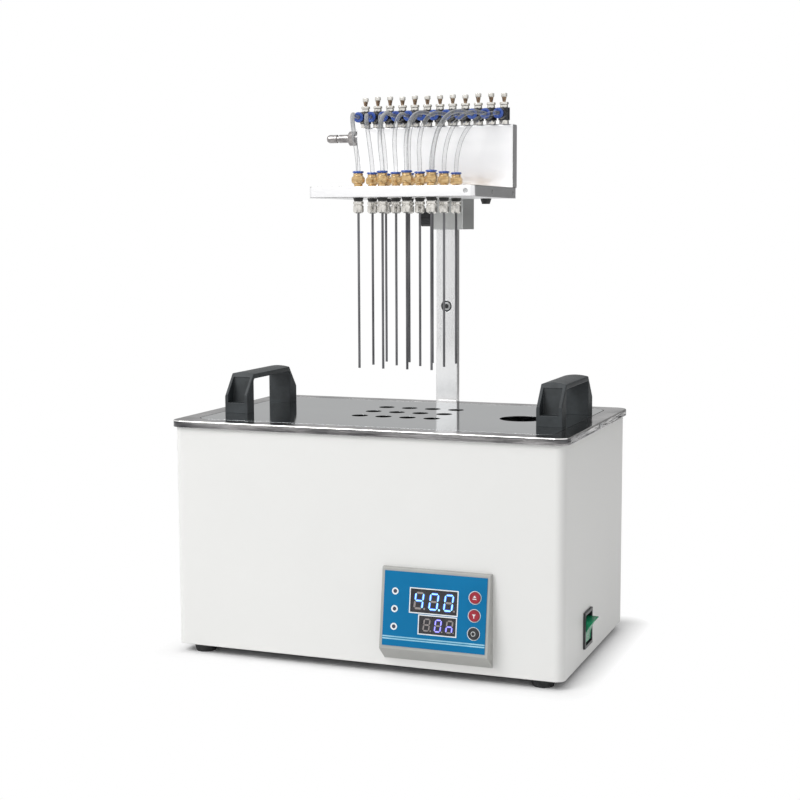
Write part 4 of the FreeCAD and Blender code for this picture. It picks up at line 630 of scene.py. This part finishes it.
# Valve knobs: small plated knobs with a knurled rim and a screwdriver slot, each on its own
# stem. Some stand higher than others, as the valves were left.
# Millimetres, and for each knob the share of the travel that it is unscrewed by
KNOB_STEPS = (0, 1, 0.9, 0.2, 1, 0.3, 0.4, 0.8, 0, 1, 0.7, 0.3)
KNOB_LOW = 505.1
KNOB_TRAVEL = 0.8
KNOB_PROFILE = ((2.4, 0), (2.75, 0.35), (2.85, 0.8), (2.85, 3.0), (2.75, 3.45), (2.3, 3.75))
KNURLS = 24
KNURL_DEPTH = 0.045
SLOT_HALF_LONG = 2.1
SLOT_HALF_WIDE = 0.35
SLOT_LEVELS = (3.7, 3.8)
around = KNURLS * 2
knob_points = []
for radius, height in KNOB_PROFILE:
    for i in range(around):
        angle = 2 * math.pi * i / around
        reach = radius * (1 - KNURL_DEPTH * (i % 2))
        knob_points.append((reach * math.cos(angle) * MM, reach * math.sin(angle) * MM,
                            height * MM))
last_ring = len(KNOB_PROFILE) - 1
knob_faces = [[r * around + i, r * around + (i + 1) % around,
               (r + 1) * around + (i + 1) % around, (r + 1) * around + i]
              for r in range(last_ring) for i in range(around)]
knob_faces.append(list(reversed(range(around))))
knob_faces.append([last_ring * around + i for i in range(around)])
slot_points = [(x * SLOT_HALF_LONG * MM, y * SLOT_HALF_WIDE * MM, z * MM) for z in SLOT_LEVELS
               for x, y in ((-1, -1), (1, -1), (1, 1), (-1, 1))]
slot_faces = [[3, 2, 1, 0], [4, 5, 6, 7], [0, 1, 5, 4], [1, 2, 6, 5], [2, 3, 7, 6], [3, 0, 4, 7]]
for n, step in enumerate(KNOB_STEPS):
    name = "valve_knob_%02d" % (n + 1)
    foot = Vector((VALVES_X[n], VALVE_DEEP, KNOB_LOW + KNOB_TRAVEL * step))
    on_stem = Matrix.Translation(foot * MM)
    knob = add_object(name + "_knurled", knob_points, knob_faces, nickel, on_stem, 25)
    slot = add_object(name + "_slot", slot_points, slot_faces, blackened, on_stem)
    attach(knob, name + "_body")
    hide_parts(name)
    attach(slot, name + "_body")

# Inlet tail: a turned brass hose tail screwed into the left end of the manifold. Its nickel
# plating has worn grey, and its edges carry a painted highlight.
dull_nickel = coat("worn nickel plate", ((0.22, 0.21, 0.21), (0.42, 0.4, 0.39)), 220,
                   (0.14, 0.26), (1600, 0.012), worn=(0.7, 0.68, 0.66), round_by=0.0003,
                   Metallic=1.0)
dress("inlet_tail", dull_nickel)

# Fittings: push-in fittings of machined brass, one above each sample hole. The hexagon is
# turned back above and below, and a thin blue release collar lies on top.
brass = coat("machined brass", ((0.5, 0.33, 0.15), (0.72, 0.52, 0.28)), 220,
             (0.18, 0.3), (1500, 0.012), (1, 1, 3), worn=(0.85, 0.7, 0.45), round_by=0.0003,
             Metallic=1.0)
GRID_PITCH = (23.3, 34)
GRID = [(GRID_PITCH[0] * (column - 1.5), -1 + GRID_PITCH[1] * (row - 1))
        for row in range(3) for column in range(4)]
grid_places = [(x, y, 0) for x, y in GRID]
fitting_profile = turned([(0, 421, False), (3.9, 421, False), (3.9, 423.2, False),
                          (5.2, 424.0, True), (6.1, 425.2, True), (6.1, 428.6, True),
                          (5.2, 429.8, True), (4.5, 430.4, False), (4.3, 431.4, False),
                          (4.5, 432.5, False), (0, 432.5, False)], 5.3)
fittings = repeat("brass_fittings", fitting_profile, grid_places, brass)
shank_profile = turned(disc(2.6, 403, 421.2), steps=24)
shanks = repeat("fitting_shanks", shank_profile, grid_places, brass)
cap_profile = turned([(2.1, 432.3, False), (3.9, 432.3, False), (4.1, 433.0, False),
                      (4.9, 433.2, False), (5.1, 433.9, False), (4.9, 434.6, False),
                      (3.4, 434.9, False), (2.4, 434.5, False), (2.1, 434.2, False),
                      (2.1, 432.3, False)])
caps = repeat("fitting_caps", cap_profile, grid_places, collar_blue)
for part, node, slot in ((fittings, "tube_fittings", "brass_bright"),
                         (shanks, "tube_fittings", "brass_bright"),
                         (caps, "fitting_collars", "collet_blue")):
    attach(part, "head")
    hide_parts(node)

# Needles under the plate: a black rubber seal, a plated hexagon nut with a collar above it and
# a drawn stainless needle for each sample hole.
seal_rubber = coat("black seal rubber", ((0.012, 0.012, 0.012), (0.03, 0.03, 0.03)), 300,
                   (0.5, 0.65), (1500, 0.03), round_by=0.0003)
needle_steel = coat("drawn needle steel", ((0.1, 0.1, 0.105), (0.2, 0.2, 0.21)), 160,
                    (0.25, 0.38), (1500, 0.008), (1, 1, 0.1), round_by=0.0001, Metallic=1.0)
dress("needle_seals", seal_rubber)
dress("needles", needle_steel)
nut_profile = turned([(1.2, 397, False), (3.0, 397, True), (4.2, 397.9, True),
                      (4.8, 398.6, True), (4.8, 403.6, True), (4.0, 404.2, False),
                      (4.0, 404.8, False), (4.7, 405.3, False), (4.7, 407.2, False),
                      (4.1, 408, False), (2.7, 408, False), (2.7, 403.1, False),
                      (1.2, 403.1, False), (1.2, 397, False)], 4.16)
nuts = repeat("needle_cap_nuts", nut_profile, grid_places, nickel)
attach(nuts, "head")
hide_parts("needle_nuts")

# Gas tubes: twelve clear tubes of 4 mm, pushed into the valves' collars and arching down to
# the fittings. Valves 1 to 3 feed the left column of fittings from front to back, and so on.
tube_clear = bpy.data.materials.new("clear tube")
tube_clear.use_nodes = True
tree = tube_clear.node_tree
shader = tree.nodes["Principled BSDF"]
shader.inputs["Roughness"].default_value = 0.08
shader.inputs["IOR"].default_value = 1.45
# The tube's grey grows more opaque towards its outline: painted shade for the dark outlines that
# refraction draws along a clear tube.
edge = tree.nodes.new("ShaderNodeLayerWeight")
edge.inputs["Blend"].default_value = 0.3
place = tree.nodes.new("ShaderNodeTexCoord")
haze = tree.nodes.new("ShaderNodeTexNoise")
haze.inputs["Scale"].default_value = 180
tree.links.new(place.outputs["Object"], haze.inputs["Vector"])
for source, low, high, to_low, to_high, socket in (
        (edge.outputs["Facing"], 0.15, 0.6, 0.1, 0.9, "Alpha"),
        (haze.outputs["Fac"], 0.3, 0.7, 0.05, 0.14, "Roughness")):
    spread = tree.nodes.new("ShaderNodeMapRange")
    for name, value in (("From Min", low), ("From Max", high), ("To Min", to_low),
                        ("To Max", to_high)):
        spread.inputs[name].default_value = value
    tree.links.new(source, spread.inputs["Value"])
    tree.links.new(spread.outputs["Result"], shader.inputs[socket])
tone = tree.nodes.new("ShaderNodeMix")
tone.data_type = "RGBA"
tone.inputs["A"].default_value = (0.24, 0.25, 0.26, 1)
tone.inputs["B"].default_value = (0.38, 0.39, 0.4, 1)
tree.links.new(haze.outputs["Fac"], tone.inputs["Factor"])
tree.links.new(tone.outputs["Result"], shader.inputs["Base Color"])

LEAD = 6.0
STATIONS = (0.0, 0.14, 0.29, 0.45, 0.61, 0.76, 0.89, 1.0)
# For each row of fittings: how far the tube bows forwards, how far it rises from the valve and
# how high above the fitting it turns down
BOWS = ((50, 7, 30), (33, 5, 32), (20, -3, 34))
# For each tube: how far it leans sideways at the valve and at the fitting
LEANS = (14, 9, 6, 6, 4, 1, -3, -6, -7, -8, -11, -13)
SWINGS = (-4, -4, -2, -5, -4, -2, -3, -4, 1, 3, 1, 2)
CAP_TOP = 434.9
TUBE_RADIUS = 2


def tube_route(n):
    """The control points of one tube, the same as its solid's: a straight lead at each end and
    a cubic curve between them."""
    column, row = divmod(n, 3)
    forward, rise, turn = BOWS[row]
    start = Vector((VALVES_X[n], COLLAR_FACE, COLLAR_LEVEL))
    end = Vector((*GRID[row * 4 + column], CAP_TOP))
    off = start + Vector((0, -LEAD, 0))
    on = end + Vector((0, 0, LEAD))
    push = off + Vector((LEANS[n], -forward, rise))
    drop = on + Vector((SWINGS[n], 0, turn))
    route = [start]
    for t in STATIONS:
        u = 1 - t
        route.append(off * u ** 3 + push * 3 * u * u * t + drop * 3 * u * t * t + on * t ** 3)
    return [point * MM for point in route + [end]]


for n in range(12):
    route = tube_route(n)
    curve = bpy.data.curves.new("gas_tube_%02d" % (n + 1), "CURVE")
    curve.dimensions = "3D"
    curve.bevel_depth = TUBE_RADIUS * MM
    curve.bevel_resolution = 6
    curve.resolution_u = 12
    line = curve.splines.new("NURBS")
    line.points.add(len(route) - 1)
    for point, where in zip(line.points, route):
        point.co = (*where, 1)
    line.order_u = 3
    line.use_endpoint_u = True
    curve.materials.append(tube_clear)
    tube = bpy.data.objects.new("gas_tube_%02d" % (n + 1), curve)
    bpy.context.scene.collection.objects.link(tube)
    bpy.context.view_layer.update()
    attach(tube, "head")
    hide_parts("gas_tubes")


# Studio: a white floor that keeps the soft shadow and fades into a white surround, a broad
# soft lamp over the left shoulder, a weak one from the right, and grey cards for the metal.
WORLD_LIGHT = 0.53
FLOOR_TONE = 0.98
FLOOR_HALF = 5
FOOTPRINT_HALF = (0.175, 0.115, 0)
SHADOW_BAND = 0.03


def link_world():
    """White to look at, and a little dimmer as a light."""
    world = bpy.data.worlds.new("white surround")
    world.use_nodes = True
    bpy.context.scene.world = world
    tree = world.node_tree
    seen = tree.nodes["Background"]
    seen.inputs["Color"].default_value = (1, 1, 1, 1)
    seen.inputs["Strength"].default_value = 1
    light = tree.nodes.new("ShaderNodeBackground")
    light.inputs["Color"].default_value = (1, 1, 1, 1)
    light.inputs["Strength"].default_value = WORLD_LIGHT
    mix = tree.nodes.new("ShaderNodeMixShader")
    tree.links.new(seen_by(tree), mix.inputs["Fac"])
    tree.links.new(light.outputs["Background"], mix.inputs[1])
    tree.links.new(seen.outputs["Background"], mix.inputs[2])
    tree.links.new(mix.outputs["Shader"], tree.nodes["World Output"].inputs["Surface"])


def seen_by(tree):
    """One where a camera, glossy or transmission ray looks, and zero for the rest."""
    path = tree.nodes.new("ShaderNodeLightPath")
    total = path.outputs["Is Camera Ray"]
    for ray in ("Is Glossy Ray", "Is Transmission Ray"):
        both = tree.nodes.new("ShaderNodeMath")
        both.operation = "MAXIMUM"
        tree.links.new(total, both.inputs[0])
        tree.links.new(path.outputs[ray], both.inputs[1])
        total = both.outputs["Value"]
    return total


def lay_floor():
    """Matt white near the casing, and plain white to the eye past a narrow band round it."""
    material = bpy.data.materials.new("white floor")
    material.use_nodes = True
    tree = material.node_tree
    tree.nodes.remove(tree.nodes["Principled BSDF"])
    matt = tree.nodes.new("ShaderNodeBsdfDiffuse")
    matt.inputs["Color"].default_value = (FLOOR_TONE, FLOOR_TONE, FLOOR_TONE, 1)
    white = tree.nodes.new("ShaderNodeEmission")
    white.inputs["Strength"].default_value = 1
    place = tree.nodes.new("ShaderNodeTexCoord")
    last = place.outputs["Object"]
    for step, value in (("ABSOLUTE", None), ("SUBTRACT", FOOTPRINT_HALF),
                        ("MAXIMUM", (0, 0, 0)), ("LENGTH", None)):
        away = tree.nodes.new("ShaderNodeVectorMath")
        away.operation = step
        tree.links.new(last, away.inputs[0])
        if value:
            away.inputs[1].default_value = value
        last = away.outputs["Value" if step == "LENGTH" else "Vector"]
    fade = tree.nodes.new("ShaderNodeMapRange")
    fade.inputs["From Min"].default_value = 0.0
    fade.inputs["From Max"].default_value = SHADOW_BAND
    both = tree.nodes.new("ShaderNodeMath")
    both.operation = "MULTIPLY"
    mix = tree.nodes.new("ShaderNodeMixShader")
    tree.links.new(last, fade.inputs["Value"])
    tree.links.new(fade.outputs["Result"], both.inputs[0])
    tree.links.new(seen_by(tree), both.inputs[1])
    tree.links.new(both.outputs["Value"], mix.inputs["Fac"])
    tree.links.new(matt.outputs["BSDF"], mix.inputs[1])
    tree.links.new(white.outputs["Emission"], mix.inputs[2])
    tree.links.new(mix.outputs["Shader"], tree.nodes["Material Output"].inputs["Surface"])
    floor = add_object("floor", [(x * FLOOR_HALF, y * FLOOR_HALF, 0)
                                 for x, y in ((-1, -1), (1, -1), (1, 1), (-1, 1))],
                       [[0, 1, 2, 3]], material)


def stand_card(name, corners, grey):
    """A card that only reflections see."""
    material = bpy.data.materials.new(name)
    material.use_nodes = True
    shader = material.node_tree.nodes["Principled BSDF"]
    shader.inputs["Base Color"].default_value = (0, 0, 0, 1)
    shader.inputs["Emission Color"].default_value = (grey, grey, grey, 1)
    shader.inputs["Emission Strength"].default_value = 1
    card = add_object(name, corners, [[0, 1, 2, 3]], material)
    card.visible_camera = False
    card.visible_diffuse = False
    card.visible_transmission = False
    card.visible_shadow = False


def hang_lamp(name, place, side, power):
    """A square soft lamp that faces the bath."""
    lamp = bpy.data.lights.new(name, "AREA")
    lamp.shape = "RECTANGLE"
    lamp.size = side
    lamp.size_y = side
    lamp.energy = power
    thing = bpy.data.objects.new(name, lamp)
    thing.location = place
    aim = Vector(LAMPS_AIM) - Vector(place)
    thing.rotation_euler = aim.to_track_quat("-Z", "Y").to_euler()
    bpy.context.scene.collection.objects.link(thing)


link_world()
lay_floor()
stand_card("card_behind", [(-3, 1.8, 0.05), (0.1, 1.8, 0.05), (0.1, 1.8, 1.3),
                           (-3, 1.8, 1.3)], 0.5)
stand_card("card_right", [(0.1, 1.79, -0.6), (4, 0.9, -0.6), (4, 0.9, 2.2),
                          (0.1, 1.79, 2.2)], 0.16)
stand_card("card_low", [(-0.95, -2.15, 0.004), (1.6, -2.15, 0.004), (1.6, -0.7, 0.004),
                        (-0.5, -0.7, 0.004)], 0.34)
LAMPS_AIM = (0, 0, 0.2)
hang_lamp("key", (-1.4, -2.2, 2.4), 1.8, 67)
hang_lamp("fill", (1.8, -1.6, 1.6), 1.5, 1)

# Camera: the photograph's view, a little above the bath and to its right, found from the
# straight edges of the casing and the grid of holes in the lid.
EYE = (0.4944, -1.3159, 0.3856)
PIXELS_TO_FOCUS = 1522.9
PIXELS_WIDE = 800
SENSOR_WIDE = 36
YAW = math.radians(20.93)
PITCH = math.radians(6.52)
ROLL = math.radians(0.22)
forward = Vector((-math.sin(YAW) * math.cos(PITCH), math.cos(YAW) * math.cos(PITCH),
                  -math.sin(PITCH)))
level = Vector((math.cos(YAW), math.sin(YAW), 0))
below = forward.cross(level)
right = level * math.cos(ROLL) + below * math.sin(ROLL)
down = below * math.cos(ROLL) - level * math.sin(ROLL)
lens = bpy.data.cameras.new("photo view")
lens.sensor_width = SENSOR_WIDE
lens.lens = PIXELS_TO_FOCUS / PIXELS_WIDE * SENSOR_WIDE
camera = bpy.data.objects.new("photo view", lens)
axes = Matrix((right, -down, -forward)).transposed().to_4x4()
camera.matrix_world = Matrix.Translation(EYE) @ axes
bpy.context.scene.collection.objects.link(camera)
bpy.context.scene.camera = camera
bpy.context.scene.view_settings.view_transform = "Standard"
